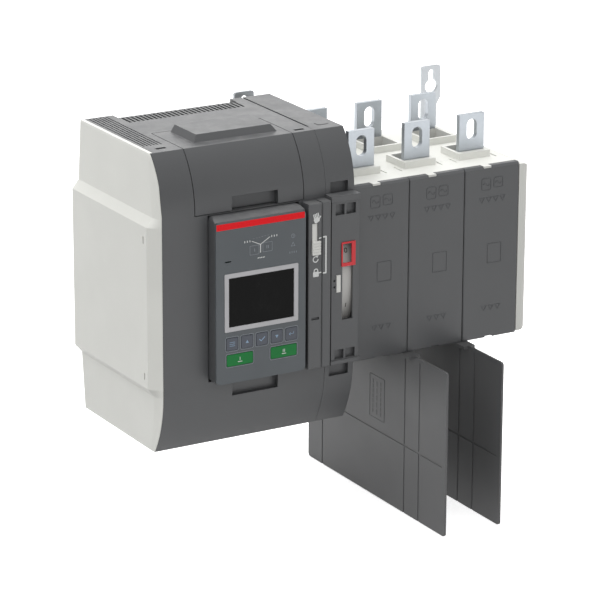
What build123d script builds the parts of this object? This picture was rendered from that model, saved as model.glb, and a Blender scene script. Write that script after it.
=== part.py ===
"""Automatic transfer switch: mechanism box, display, control column and three poles.

Frame: origin on the mounting plane at the centre of the four fixing points,
+X to the right, front of the switch towards -Y, +Z up. Millimetres.
"""
import os
from math import atan2, cos, pi, radians, sin, sqrt, tan

from build123d import *

# ---- mechanism box -------------------------------------------------------
CASE_LEFT = -285.4
SIDE_SEAM = -286.2
CASE_RIGHT = -90.0
CASE_TOP = 138.5
CASE_FRONT = -181.5
CASE_REAR = -26.0
CASE_WALL = 3.0
TOP_BEND_START = 85.0
TOP_BEND_RADIUS = 78.6
BOTTOM_BEND_START = -80.0
BOTTOM_BEND_RADIUS = 106.5
SIDE_WALL = 3.0
SEAM_GROOVE = 1.8
SEAM_DEPTH = 1.4
TOP_GROOVE_FRONT = -148.0
BULGE = 10.3
BULGE_FLAT = 75.0
TOP_STRIP = 3.0
TOP_STRIP_FRONT = -159.5
SLIT_Y = -165.5
SLIT_Z = (62.3, -64.3)
# height, skin X, start of the front lip, front end of the lip
SIDE_LEVELS = (
    (139.0, -286.6, -160.2, -162.5),
    (136.6, -287.3, -160.6, -164.5),
    (117.0, -288.2, -164.4, -175.9),
    (83.0, -290.0, -170.6, -181.9),
    (BULGE_FLAT, SIDE_SEAM - BULGE, -171.9, -181.8),
    (-BULGE_FLAT, SIDE_SEAM - BULGE, -171.9, -181.8),
    (-83.0, -289.6, -170.6, -181.9),
    (-110.0, -288.2, -166.0, -178.6),
    (-139.0, -286.9, -157.0, -165.5),
)
DRIVE_LEFT = -120.0
FRAME_PLATE = 3.0

# ---- connector flap ------------------------------------------------------
FLAP_X = (-253.0, -143.0)
FLAP_REAR = -101.0
FLAP_BOTTOM = 82.0
FLAP_GAP = 0.7
PAD_X = (-236.0, -151.0)
PAD_Y = (-148.0, -103.5)
PAD_HEIGHT = 6.2
PAD_BEVEL = 4.6
GRIP_X = (-216.0, -169.0)
GRIP_HEIGHT = 12.5
GRIP_DEPTH = 7.0

# ---- display unit --------------------------------------------------------
HMI_X = (-240.0, -148.4)
HMI_Z = (-74.0, 80.0)
HMI_FRONT = -195.3
HMI_REAR = -171.5
HMI_CORNER = 4.0
HMI_WALL = 2.4
FACE_THICK = 1.8
FACE_TOP = 76.4
SCREEN_CENTRE = (-193.9, 1.4)
SCREEN_OUTER = (75.2, 54.0)
SCREEN_WINDOW = (66.8, 45.8)
KEY_SIZE = 11.6
KEY_PITCH = 15.2
KEY_FIRST_X = -223.9
KEY_Z = -37.2
KEY_NAMES = ("menu_key", "up_key", "confirm_key", "down_key", "return_key")
SOURCE_KEY_SIZE = (26.6, 10.8)
SOURCE_KEY_Z = -52.6
SOURCE_KEY_X = {"source_one_key": -216.1, "source_two_key": -171.0}
KEY_GAP = 0.25
KEY_FLANGE = 0.8
DOCK_GAP = 0.6

# ---- control column ------------------------------------------------------
STRIP_X = (-145.0, -131.2)
STRIP_Z = (-75.0, 80.3)
STRIP_FRONT = -195.0
SLOT_X = (-141.6, -135.8)
SLOT_Z = (32.9, 62.1)
SLIDER_TRAVEL = 15.0
STRIP_SKIN = 0.9
LATCH_X = (-130.8, -121.4)
LATCH_Z = (-75.5, 80.8)
LATCH_FRONT = -194.4
TONGUE_X = (-127.4, -124.9)
TONGUE_Z = (-26.0, 26.0)
TONGUE_REAR = -150.0
PADLOCK_Y = -170.5
PADLOCK_RADIUS = 4.2

# ---- handle and indicator module ----------------------------------------
HANDLE_X = (-119.6, -91.0)
HANDLE_Z = (-75.3, 83.6)
HANDLE_FRONT = -192.0
WINDOW_X = (-108.2, -97.2)
WINDOW_Z = (-34.1, 38.5)
READING_Z = (19.8, 37.9)
DRUM_RADIUS = 90.3
DRUM_RIM = 2.5
DRUM_RIM_RIGHT = -93.3
DRUM_GAP = 0.3
DRUM_OPENING = 44.5
DRUM_HALF_ANGLE = 58.0

# ---- poles ---------------------------------------------------------------
POLE_PITCH = 60.0
POLE_X = (-60.0, 0.0, 60.0)
POLE_NAMES = ("one", "two", "three")
POLE_BOTTOM = -81.5
DECK = 85.0
POLE_TOP = 84.0
POLE_FRONT = -180.0
HOUSING_FRONT = -172.6
HOUSING_REAR = -20.0
HOUSING_WALL = 3.5
COVER_GAP = 0.3
COVER_EDGE = 0.8
COVER_SLOPE = 2.2
COLLAR_HALF = 17.0
COLLAR_WALL = 2.8
COLLAR_HEIGHT = 6.4
FRONT_COLLAR_Y = (-149.6, -117.0)
REAR_COLLAR_Y = (-90.5, -48.0)
CLIP_X = (-9.0, -1.0)
END_PLATE_X = (90.0, 102.2)
END_PLATE_ROUND = 8.0

# ---- current path --------------------------------------------------------
SHAFT_Y = -98.65
SHAFT_Z = 2.0
SHAFT_SIDE = 14.0
TAB_WIDTH = 27.4
TAB_THICK = 5.0
FRONT_TAB_Y = -143.6
REAR_TAB_Y = -58.7
TAB_TOP = 126.5
TAB_BOTTOM = -116.5
TAB_SLOT = (11.0, 20.0)
TAB_SLOT_Z = 111.7
SEAT_STEP = 0.2
SEAT_START = DECK + COLLAR_HEIGHT + 0.6
LOAD_SEAT_START = POLE_BOTTOM - 0.6
BLADE_THICK = 4.0
BLADE_HALF_WIDTH = 7.0
BLADE_TIP = 58.0
BLADE_TAIL = 36.0
JAW_GAP = 0.3
JAW_THICK = 2.0
ROTOR_RADIUS = 22.0
JOURNAL_RADIUS = 11.0
RUNNING_FIT = 0.06

# ---- drive ---------------------------------------------------------------
GEAR_MODULE = 1.5
GEAR_TEETH = 36
PINION_TEETH = 18
PRESSURE_ANGLE = 20.0
BACKLASH = 0.12
GEAR_X = (-118.6, -110.6)
MOTOR_RADIUS = 18.0
MOTOR_LEFT = -196.0
MOTOR_SHAFT_RADIUS = 3.0
PINION_Z = SHAFT_Z + GEAR_MODULE * (GEAR_TEETH + PINION_TEETH) / 2

# ---- barriers and mounting rails ----------------------------------------
BARRIER_X = (-30.0, 30.0)
BARRIER_THICK = 2.0
BARRIER_Y = (-249.7, -0.6)
BARRIER_BOTTOM = -241.3
SCORE_WIDTH = 2.2
SCORE_DEPTH = 0.45
SCORE_Y = (-204.0, -178.6, -28.0)
SCORE_Z = -173.6
FIXING_X = 104.0
FIXING_Z = 130.0
EAR_WIDTH = 21.0
RAIL_WIDTH = 17.0
RAIL_THICK = 3.0
RAIL_END = 137.0
FIXING_RADIUS = 3.3
KEYHOLE_RADIUS = 6.9
KEYHOLE_DROP = 13.2
FOOT_Z = (-72.0, 76.0)
FOOT_INNER = 72.0
RAIL_SCREW_X = 80.0
RAIL_SCREW_Z = (-52.0, 56.0)
BACK_SCREW_X = (-274.0, -132.0)
BACK_SCREW_Z = 129.0

os.makedirs("parts", exist_ok=True)


def block(x, y, z, mode=Mode.ADD):
    """Add or cut a box given as low and high limits on each axis."""
    centre = ((x[0] + x[1]) / 2, (y[0] + y[1]) / 2, (z[0] + z[1]) / 2)
    with Locations(centre):
        Box(x[1] - x[0], y[1] - y[0], z[1] - z[0], mode=mode)


def rod(radius, x, y, z, mode=Mode.ADD):
    """Add or cut a round bar along X between two X limits."""
    with Locations(Location(((x[0] + x[1]) / 2, y, z), (0, 90, 0))):
        Cylinder(radius, x[1] - x[0], mode=mode)


def pin(radius, x, y, z, mode=Mode.ADD):
    """Add or cut a round bar along Y between two Y limits."""
    with Locations(Location((x, (y[0] + y[1]) / 2, z), (90, 0, 0))):
        Cylinder(radius, y[1] - y[0], mode=mode)


def save(builder, name):
    """Label a finished piece and write its STEP file."""
    builder.part.label = name
    export_step(builder.part, f"parts/{name}.step")


def case_profile(x, inset=0.0):
    """Side outline of the mechanism box in the YZ plane, set in by a wall."""
    front = CASE_FRONT + inset
    top = CASE_TOP - inset
    r_top = TOP_BEND_RADIUS - inset
    y_top = CASE_FRONT + TOP_BEND_RADIUS
    a_top = atan2(top - TOP_BEND_START, sqrt(r_top**2 - (top - TOP_BEND_START) ** 2))
    r_low = BOTTOM_BEND_RADIUS - inset
    y_low = CASE_FRONT + BOTTOM_BEND_RADIUS
    drop = top + BOTTOM_BEND_START
    a_low = atan2(drop, sqrt(r_low**2 - drop**2))

    def upper(a):
        return (y_top - r_top * cos(a), TOP_BEND_START + r_top * sin(a))

    def lower(a):
        return (y_low - r_low * cos(a), BOTTOM_BEND_START - r_low * sin(a))

    with BuildSketch(Plane.YZ.offset(x)) as outline:
        with BuildLine():
            Polyline(lower(a_low), (CASE_REAR, -top), (CASE_REAR, top), upper(a_top))
            ThreePointArc(upper(a_top), upper(a_top / 2), (front, TOP_BEND_START))
            Line((front, TOP_BEND_START), (front, BOTTOM_BEND_START))
            ThreePointArc((front, BOTTOM_BEND_START), lower(a_low / 2), lower(a_low))
        make_face()
    return outline.sketch


def case_shell(x):
    """Open-backed shell with the box's side outline, between two X limits."""
    width = x[1] - x[0]
    extrude(case_profile(x[0]), amount=width)
    extrude(case_profile(x[0], CASE_WALL), amount=width, mode=Mode.SUBTRACT)


# ---------------------------------------------------------------- enclosure
def side_section(z, side, lip_start, lip_end):
    """Horizontal slice of the side cover's raised skin at one height."""
    with BuildSketch(Plane.XY.offset(z)) as section:
        with BuildLine():
            Polyline(
                (SIDE_SEAM, CASE_REAR),
                (side, CASE_REAR),
                (side, lip_start),
                (SIDE_SEAM - 0.3, lip_end),
                (SIDE_SEAM, lip_end),
                close=True,
            )
        make_face()
    return section.sketch


def make_side_cover():
    """Light left cover: leaning skin, raised hollow centre panel and a rim inside the box."""
    with BuildPart() as skin:
        loft([side_section(*level) for level in SIDE_LEVELS], ruled=True)
    with BuildPart() as top_strip:
        extrude(case_profile(SIDE_SEAM - 0.05), amount=TOP_STRIP)
        block(
            (SIDE_SEAM - 1, CASE_LEFT + 10),
            (TOP_STRIP_FRONT, CASE_REAR),
            (CASE_TOP - CASE_WALL - 0.4, CASE_TOP),
            Mode.INTERSECT,
        )
    with BuildPart() as side_cover:
        extrude(case_profile(SIDE_SEAM - 20), amount=20)
        add(skin.part, mode=Mode.INTERSECT)
        extrude(case_profile(SIDE_SEAM - 0.05, CASE_WALL + 0.2), amount=SIDE_WALL)
        add(top_strip.part)
        block(
            (SIDE_SEAM - BULGE + SIDE_WALL, SIDE_SEAM + SIDE_WALL + 1),
            (SLIT_Y + 4, CASE_REAR - SIDE_WALL),
            (-BULGE_FLAT + 3, BULGE_FLAT - 3),
            Mode.SUBTRACT,
        )
        for z in SLIT_Z:
            block(
                (SIDE_SEAM - BULGE - 1, SIDE_SEAM - BULGE + 2),
                (SLIT_Y - 0.8, SLIT_Y + 0.8),
                (z - 3.2, z + 3.2),
                Mode.SUBTRACT,
            )
    save(side_cover, "side_cover")


def make_front_cover():
    """Dark curved cover: front, top and bottom of the mechanism box."""
    right = DRIVE_LEFT - 0.2
    with BuildPart() as front_cover:
        case_shell((SIDE_SEAM + 0.2, right))
        block(
            (SIDE_SEAM - 1, SIDE_SEAM + TOP_STRIP + 0.2),
            (TOP_STRIP_FRONT - 0.2, 0),
            (CASE_TOP - CASE_WALL - 1, CASE_TOP + 5),
            Mode.SUBTRACT,
        )
        block((-254, -132), (-39, -20), (120, 150), Mode.SUBTRACT)
        with Locations((-193, -48, CASE_TOP)):
            with GridLocations(4.5, 1, 27, 1):
                Box(2.4, 18.2, 12, mode=Mode.SUBTRACT)
        with Locations((-271, -83, CASE_TOP)):
            with GridLocations(3.4, 1, 6, 1):
                Box(1.4, 108, 2.4, mode=Mode.SUBTRACT)
        for x, y in ((-269.7, -149.0), (-131.5, -153.0)):
            block((x - 5, x + 5), (y - 2, y + 2), (CASE_TOP - 1.6, CASE_TOP + 1), Mode.SUBTRACT)
        block(
            (FLAP_X[0] - FLAP_GAP, FLAP_X[1] + FLAP_GAP),
            (CASE_FRONT - 10, FLAP_REAR + FLAP_GAP),
            (FLAP_BOTTOM - FLAP_GAP, CASE_TOP + 10),
            Mode.SUBTRACT,
        )
        block((-218.5, -166), (CASE_FRONT + 1, CASE_FRONT + 9), (-94, -76.8))
        block((HMI_X[0] - 0.6, HMI_X[1] + 0.6), (-190, -170), (HMI_Z[0] - 0.6, 80.6), Mode.SUBTRACT)
        block(GRIP_X, (CASE_FRONT - 1, CASE_FRONT + 6), (-91.5, -70), Mode.SUBTRACT)
        block(
            (TONGUE_X[0] - 0.4, TONGUE_X[1] + 0.4),
            (-190, -170),
            (TONGUE_Z[0] - 0.5, TONGUE_Z[1] + 0.5),
            Mode.SUBTRACT,
        )
        for x in BACK_SCREW_X:
            for side in (-1, 1):
                z = side * BACK_SCREW_Z
                block((x - 5, x + 5), (-43, -29), (z - 5, z + 6.6) if side > 0 else (z - 6.6, z + 5))
                pin(1.75, x, (-41, -28), z, Mode.SUBTRACT)
    save(front_cover, "front_cover")


def make_connector_flap():
    """Lift-off panel over the control connectors, with raised pad and finger pocket."""
    with BuildPart() as connector_flap:
        case_shell(FLAP_X)
        block((-300, -100), (FLAP_REAR, 0), (-200, 200), Mode.SUBTRACT)
        block((-300, -100), (-200, 0), (-200, FLAP_BOTTOM), Mode.SUBTRACT)
        pocket = (FLAP_BOTTOM, FLAP_BOTTOM + GRIP_HEIGHT)
        back = CASE_FRONT + GRIP_DEPTH
        block((GRIP_X[0] - 2, GRIP_X[1] + 2), (CASE_FRONT + 1, back + 2), (pocket[0], pocket[1] + 2))
        block(GRIP_X, (CASE_FRONT - 5, back), (pocket[0] - 1, pocket[1]), Mode.SUBTRACT)
        with BuildSketch(Plane.XY.offset(CASE_TOP - 0.5)):
            with Locations(((PAD_X[0] + PAD_X[1]) / 2, (PAD_Y[0] + PAD_Y[1]) / 2)):
                Rectangle(PAD_X[1] - PAD_X[0], PAD_Y[1] - PAD_Y[0])
        with BuildSketch(Plane.XY.offset(CASE_TOP + PAD_HEIGHT)):
            with Locations(((PAD_X[0] + PAD_X[1]) / 2, (PAD_Y[0] + PAD_Y[1] + PAD_BEVEL) / 2)):
                Rectangle(
                    PAD_X[1] - PAD_X[0] - 2 * PAD_BEVEL,
                    PAD_Y[1] - PAD_Y[0] - PAD_BEVEL,
                )
        loft()
    save(connector_flap, "connector_flap")


def make_gearbox_cover():
    """Narrow right-hand cover over the drive, with a wall towards the poles."""
    with BuildPart() as gearbox_cover:
        case_shell((DRIVE_LEFT, CASE_RIGHT))
        extrude(case_profile(CASE_RIGHT - CASE_WALL), amount=CASE_WALL)
        block(
            (DRIVE_LEFT - 1, DRIVE_LEFT + SEAM_GROOVE),
            (TOP_GROOVE_FRONT, CASE_REAR + 1),
            (CASE_TOP - SEAM_DEPTH, CASE_TOP + 1),
            Mode.SUBTRACT,
        )
        rod(12.5, (CASE_RIGHT - 10, CASE_RIGHT + 1), SHAFT_Y, SHAFT_Z, Mode.SUBTRACT)
        for x, z in (((-115, -96.5), (80, 93.5)), ((-115, -95.0), (-90.5, -72))):
            block((x[0] - 2, x[1] + 2), (CASE_FRONT + 1, CASE_FRONT + 8), (z[0] - 2, z[1] + 2))
            block(x, (CASE_FRONT - 3, CASE_FRONT + 5), z, Mode.SUBTRACT)
        block(
            (WINDOW_X[0] - 1.3, DRUM_RIM_RIGHT + DRUM_GAP),
            (-190, -170),
            (SHAFT_Z - DRUM_OPENING, SHAFT_Z + DRUM_OPENING),
            Mode.SUBTRACT,
        )
    save(gearbox_cover, "gearbox_cover")


def make_back_plate():
    """Rear plate of the mechanism box with four board posts."""
    with BuildPart() as back_plate:
        block((CASE_LEFT + SIDE_WALL + 0.2, CASE_RIGHT - CASE_WALL), (-29, CASE_REAR), (-135.4, 135.4))
        for x in (-262, -158):
            for z in (-52, 52):
                pin(3.5, x, (-44, -28.5), z)
        for x in BACK_SCREW_X:
            for z in (-BACK_SCREW_Z, BACK_SCREW_Z):
                pin(1.85, x, (-30, -25), z, Mode.SUBTRACT)
        for i in range(6):
            z = -90 + 6 * i
            block((-240, -160), (-27.5, -25), (z, z + 2.4), Mode.SUBTRACT)
    save(back_plate, "back_plate")


def make_drive_frame():
    """Steel plate between the electronics and the gearbox, carrying shaft and motor."""
    with BuildPart() as drive_frame:
        x = (DRIVE_LEFT - 0.2 - FRAME_PLATE, DRIVE_LEFT - 0.2)
        block(x, (-166, -29), (-100, 100))
        rod(JOURNAL_RADIUS + RUNNING_FIT, (-130, -110), SHAFT_Y, SHAFT_Z, Mode.SUBTRACT)
        rod(MOTOR_SHAFT_RADIUS + 1, (-130, -110), SHAFT_Y, PINION_Z, Mode.SUBTRACT)
        for y in (-150, -45):
            for z in (-80, 80):
                rod(7, (-130, -110), y, z, Mode.SUBTRACT)
    save(drive_frame, "drive_frame")


# ------------------------------------------------------------- display unit
def hmi_outline(z_top, grow=0.0):
    """Rounded front outline of the display unit as a face facing -Y at Y = 0."""
    width = HMI_X[1] - HMI_X[0] + 2 * grow
    height = z_top - HMI_Z[0] + 2 * grow
    with BuildSketch(Plane.XZ) as outline:
        with Locations(((HMI_X[0] + HMI_X[1]) / 2, (HMI_Z[0] + z_top) / 2)):
            RectangleRounded(width, height, HMI_CORNER + grow)
    return outline.sketch


def make_hmi_housing():
    """Tub of the detachable display unit with a sloping top edge."""
    front = HMI_FRONT + FACE_THICK
    with BuildPart() as hmi_housing:
        tub = hmi_outline(HMI_Z[1]).moved(Location((0, HMI_REAR, 0)))
        extrude(tub, amount=HMI_REAR - front)
        hollow = hmi_outline(HMI_Z[1], -HMI_WALL).moved(Location((0, HMI_REAR - HMI_WALL, 0)))
        extrude(hollow, amount=HMI_REAR - HMI_WALL - front, mode=Mode.SUBTRACT)
        block((HMI_X[0] + 2, HMI_X[1] - 2), (front, front + 9), (FACE_TOP - 2, HMI_Z[1] - 1))
        with BuildSketch(Plane.YZ.offset(HMI_X[0] - 1)):
            with BuildLine():
                Polyline(
                    (front - 1, FACE_TOP - 0.3),
                    (front + 9, HMI_Z[1] + 0.05),
                    (front - 1, HMI_Z[1] + 0.05),
                    close=True,
                )
            make_face()
        extrude(amount=HMI_X[1] - HMI_X[0] + 2, mode=Mode.SUBTRACT)
        for x in (-234, -154):
            for z in (-66, 58):
                pin(2.5, x, (HMI_FRONT + 9.9, HMI_REAR - 1), z)
    save(hmi_housing, "hmi_housing")


def make_hmi_face():
    """Face plate with openings for the display, seven keys and a small sensor slot."""
    with BuildPart() as hmi_face:
        extrude(hmi_outline(FACE_TOP).moved(Location((0, HMI_FRONT + FACE_THICK, 0))), amount=FACE_THICK)
        with BuildSketch(Plane.XZ.offset(-HMI_FRONT)):
            with Locations(SCREEN_CENTRE):
                RectangleRounded(SCREEN_OUTER[0] + 0.2, SCREEN_OUTER[1] + 0.2, 1.2)
            with Locations(*[(KEY_FIRST_X + i * KEY_PITCH, KEY_Z) for i in range(5)]):
                RectangleRounded(KEY_SIZE + 2 * KEY_GAP, KEY_SIZE + 2 * KEY_GAP, 1.5)
            with Locations(*[(x, SOURCE_KEY_Z) for x in SOURCE_KEY_X.values()]):
                RectangleRounded(SOURCE_KEY_SIZE[0] + 2 * KEY_GAP, SOURCE_KEY_SIZE[1] + 2 * KEY_GAP, 1.5)
            with Locations((-227.7, 39.7)):
                Rectangle(6.2, 1.3)
        extrude(amount=-FACE_THICK - 1, mode=Mode.SUBTRACT)
    save(hmi_face, "hmi_face")


def make_display():
    """Pale frame around the screen and the black screen block behind it."""
    with BuildPart() as display_frame:
        with BuildSketch(Plane.XZ.offset(-HMI_FRONT + 0.5)):
            with Locations(SCREEN_CENTRE):
                RectangleRounded(SCREEN_OUTER[0], SCREEN_OUTER[1], 1.0)
                RectangleRounded(SCREEN_WINDOW[0], SCREEN_WINDOW[1], 0.6, mode=Mode.SUBTRACT)
        extrude(amount=-3.0)
    save(display_frame, "display_frame")
    with BuildPart() as display_screen:
        with BuildSketch(Plane.XZ.offset(-HMI_FRONT - 0.3)):
            with Locations(SCREEN_CENTRE):
                RectangleRounded(SCREEN_WINDOW[0] - 0.2, SCREEN_WINDOW[1] - 0.2, 0.8)
        extrude(amount=-6.3)
    save(display_screen, "display_screen")


def make_key(name, x, z, size):
    """One key cap with a retaining flange behind the face plate."""
    front = HMI_FRONT - 0.4
    back = HMI_FRONT + FACE_THICK
    with BuildPart() as key:
        with BuildSketch(Plane.XZ.offset(-front)):
            with Locations((x, z)):
                RectangleRounded(size[0], size[1], 1.3)
        extrude(amount=-(back + 1.4 - front))
        chamfer(key.faces().sort_by(Axis.Y)[0].edges(), 0.25)
        flange = (size[0] / 2 + KEY_FLANGE, size[1] / 2 + KEY_FLANGE)
        block((x - flange[0], x + flange[0]), (back + 0.3, back + 1.4), (z - flange[1], z + flange[1]))
    save(key, name)


def make_hmi_board():
    """Circuit board of the display unit with key domes and a rear socket."""
    with BuildPart() as hmi_board:
        block((-237, -151.4), (-187, -185.4), (-70, 74))
        for i in range(5):
            pin(2.5, KEY_FIRST_X + i * KEY_PITCH, (-190.9, -186.5), KEY_Z)
        for x in SOURCE_KEY_X.values():
            pin(2.5, x, (-190.9, -186.5), SOURCE_KEY_Z)
        block((SCREEN_CENTRE[0] - 30, SCREEN_CENTRE[0] + 30), (-188.7, -186.5), (-18, 20))
        block((-210, -178), (-185.5, -176), (-12, 2))
        for x in (-234, -154):
            for z in (-66, 58):
                pin(1.2, x, (-190, -180), z, Mode.SUBTRACT)
    save(hmi_board, "hmi_board")


def make_hmi_dock():
    """Shallow tray behind the front cover that the display unit plugs into."""
    x = (HMI_X[0] - DOCK_GAP, HMI_X[1] + DOCK_GAP)
    z = (HMI_Z[0] - DOCK_GAP, HMI_Z[1] + DOCK_GAP)
    inner = CASE_FRONT + CASE_WALL
    with BuildPart() as hmi_dock:
        block((x[0] - 2, x[1] + 2), (inner, -167), (z[0] - 2, z[1] + 0.8))
        block(x, (inner - 1, -169), z, Mode.SUBTRACT)
        block((-214, -174), (-169.5, -158), (-16, 6))
        block((-206, -182), (-180, -150), (-10, 0), Mode.SUBTRACT)
        block((GRIP_X[0] - 3, GRIP_X[1] + 3), (-190, -171), (-80, z[0] - 0.01), Mode.SUBTRACT)
    save(hmi_dock, "hmi_dock")


# ----------------------------------------------------------- control column
def make_selector_strip():
    """Body of the mode selector with its slot and the slider's channel."""
    with BuildPart() as selector_strip:
        block(STRIP_X, (STRIP_FRONT, CASE_FRONT), STRIP_Z)
        chamfer(selector_strip.faces().sort_by(Axis.Y)[0].edges(), 0.9)
        block(SLOT_X, (STRIP_FRONT - 1, STRIP_FRONT + 4), SLOT_Z, Mode.SUBTRACT)
        block(
            (SLOT_X[0] - 1.2, SLOT_X[1] + 1.2),
            (STRIP_FRONT + STRIP_SKIN, STRIP_FRONT + STRIP_SKIN + 2.3),
            (SLOT_Z[0] - SLIDER_TRAVEL - 1, SLOT_Z[1] + SLIDER_TRAVEL + 1),
            Mode.SUBTRACT,
        )
        block((-142, -134), (STRIP_FRONT - 1, STRIP_FRONT + 2), (-28.6, -26.2), Mode.SUBTRACT)
    save(selector_strip, "selector_strip")


def make_mode_slider():
    """White slider: long cover plate in the channel and a ribbed knob."""
    with BuildPart() as mode_slider:
        block(
            (SLOT_X[0] - 0.9, SLOT_X[1] + 0.9),
            (STRIP_FRONT + STRIP_SKIN + 0.1, STRIP_FRONT + STRIP_SKIN + 2.1),
            (SLOT_Z[0] - SLIDER_TRAVEL - 0.4, SLOT_Z[1] + 0.4),
        )
        block(
            (SLOT_X[0] + 0.2, SLOT_X[1] - 0.2),
            (STRIP_FRONT - 0.4, STRIP_FRONT + STRIP_SKIN + 0.3),
            (SLOT_Z[0] + 0.3, SLOT_Z[0] + 12.8),
        )
        block(
            (SLOT_X[0] - 0.6, SLOT_X[1] + 2.0),
            (STRIP_FRONT - 2.4, STRIP_FRONT - 0.3),
            (SLOT_Z[0] + 0.3, SLOT_Z[0] + 12.8),
        )
        for i in range(4):
            z = SLOT_Z[0] + 2.4 + 2.6 * i
            block((-143, -133), (STRIP_FRONT - 3, STRIP_FRONT - 1.8), (z, z + 0.9), Mode.SUBTRACT)
    save(mode_slider, "mode_slider")


def make_padlock_latch():
    """Pull-out padlocking latch: front bar and tongue with the shackle hole."""
    with BuildPart() as padlock_latch:
        block(LATCH_X, (LATCH_FRONT, CASE_FRONT - 0.2), LATCH_Z)
        chamfer(padlock_latch.faces().sort_by(Axis.Y)[0].edges(), 0.9)
        block(TONGUE_X, (CASE_FRONT - 0.5, TONGUE_REAR), TONGUE_Z)
        rod(PADLOCK_RADIUS, (-130, -120), PADLOCK_Y, 0, Mode.SUBTRACT)
    save(padlock_latch, "padlock_latch")


def make_handle_housing():
    """Module over the indicator drum: end bands, twin pockets, long window."""
    with BuildPart() as handle_housing:
        block(HANDLE_X, (HANDLE_FRONT, CASE_FRONT), HANDLE_Z)
        for z in ((HANDLE_Z[1] - 5.5, HANDLE_Z[1]), (HANDLE_Z[0], HANDLE_Z[0] + 3.5)):
            block((HANDLE_X[0] - 1.0, HANDLE_X[1] + 0.6), (HANDLE_FRONT - 1.6, CASE_FRONT), z)
        for z in ((65.5, 75.5), (-71.0, -62.0)):
            for x in ((-115.7, -106.3), (-104.3, -94.4)):
                block(x, (HANDLE_FRONT - 1, HANDLE_FRONT + 4), z, Mode.SUBTRACT)
        block(WINDOW_X, (HANDLE_FRONT - 1, HANDLE_FRONT + 5), WINDOW_Z, Mode.SUBTRACT)
        block(
            (WINDOW_X[0] - 1.3, DRUM_RIM_RIGHT + DRUM_GAP),
            (HANDLE_FRONT + 2.2, CASE_FRONT + 1),
            (SHAFT_Z - DRUM_OPENING, SHAFT_Z + DRUM_OPENING),
            Mode.SUBTRACT,
        )
        block((-114.5, -110.1), (HANDLE_FRONT - 1, HANDLE_FRONT + 3), (-7.2, 9.1), Mode.SUBTRACT)
        for z in (-1.8, 4.2):
            block((-117.4, -115.6), (HANDLE_FRONT - 1, HANDLE_FRONT + 1.4), (z - 1, z + 1), Mode.SUBTRACT)
    save(handle_housing, "handle_housing")


def make_indicator_bezel():
    """Red frame around the reading end of the window."""
    with BuildPart() as indicator_bezel:
        block((-109.3, -94.9), (HANDLE_FRONT - 1.0, HANDLE_FRONT), (16.6, 39.4))
        block((-108.2, -98.9), (HANDLE_FRONT - 2, HANDLE_FRONT + 1), READING_Z, Mode.SUBTRACT)
    save(indicator_bezel, "indicator_bezel")


def make_tell_tale_bar():
    """Small white bar set into the module beside the window."""
    with BuildPart() as tell_tale_bar:
        block((-114.4, -110.2), (HANDLE_FRONT - 0.6, HANDLE_FRONT + 2.9), (-7.1, 9.0))
    save(tell_tale_bar, "tell_tale_bar")


def make_indicator_drum():
    """Sector on the shaft whose rim carries the position marks past the window."""
    with BuildPart() as indicator_drum:
        with BuildSketch(Plane.YZ.offset(WINDOW_X[0] + 0.2)):
            with Locations((SHAFT_Y, SHAFT_Z)):
                Circle(DRUM_RADIUS)
                Circle(DRUM_RADIUS - DRUM_RIM, mode=Mode.SUBTRACT)
        extrude(amount=DRUM_RIM_RIGHT - WINDOW_X[0] - 0.2)
        with BuildSketch(Plane.YZ.offset(-104.4)):
            with Locations((SHAFT_Y, SHAFT_Z)):
                Circle(DRUM_RADIUS - 1)
        extrude(amount=3)
        with BuildSketch(Plane.YZ.offset(-112)):
            reach = 2 * DRUM_RADIUS
            edge = (reach * cos(radians(DRUM_HALF_ANGLE)), reach * sin(radians(DRUM_HALF_ANGLE)))
            with BuildLine():
                Polyline(
                    (SHAFT_Y, SHAFT_Z),
                    (SHAFT_Y - edge[0], SHAFT_Z + edge[1]),
                    (SHAFT_Y + reach, SHAFT_Z + reach),
                    (SHAFT_Y + reach, SHAFT_Z - reach),
                    (SHAFT_Y - edge[0], SHAFT_Z - edge[1]),
                    close=True,
                )
            make_face()
        extrude(amount=20, mode=Mode.SUBTRACT)
        rod(14, (-110.4, -94.6), SHAFT_Y, SHAFT_Z)
        square = SHAFT_SIDE / 2 + 0.04
        block(
            (-120, -90),
            (SHAFT_Y - square, SHAFT_Y + square),
            (SHAFT_Z - square, SHAFT_Z + square),
            Mode.SUBTRACT,
        )
    save(indicator_drum, "indicator_drum")


# -------------------------------------------------------------------- drive
def gear_points(teeth):
    """Outline of an involute gear about its own centre, one tooth on the first axis."""
    pitch = GEAR_MODULE * teeth / 2
    base = pitch * cos(radians(PRESSURE_ANGLE))
    tip = pitch + GEAR_MODULE
    root = pitch - 1.25 * GEAR_MODULE
    half = pi / (2 * teeth) - BACKLASH / (2 * pitch)
    lean = tan(radians(PRESSURE_ANGLE)) - radians(PRESSURE_ANGLE)
    points = []
    steps = 5
    start = max(base, root)
    for tooth in range(teeth):
        middle = 2 * pi * tooth / teeth
        flank = []
        for i in range(steps):
            r = start + (tip - start) * i / (steps - 1)
            roll = sqrt(max(r**2 / base**2 - 1, 0.0))
            flank.append((r, half + lean - (roll - atan2(roll, 1.0))))
        first = (root, flank[0][1] + 0.2 * GEAR_MODULE / pitch)
        side = [first] + flank if root < base - 0.01 else flank
        rising = [(r, middle - a) for r, a in side]
        falling = [(r, middle + a) for r, a in reversed(side)]
        points += [(r * cos(a), r * sin(a)) for r, a in rising + falling]
    return points


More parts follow.
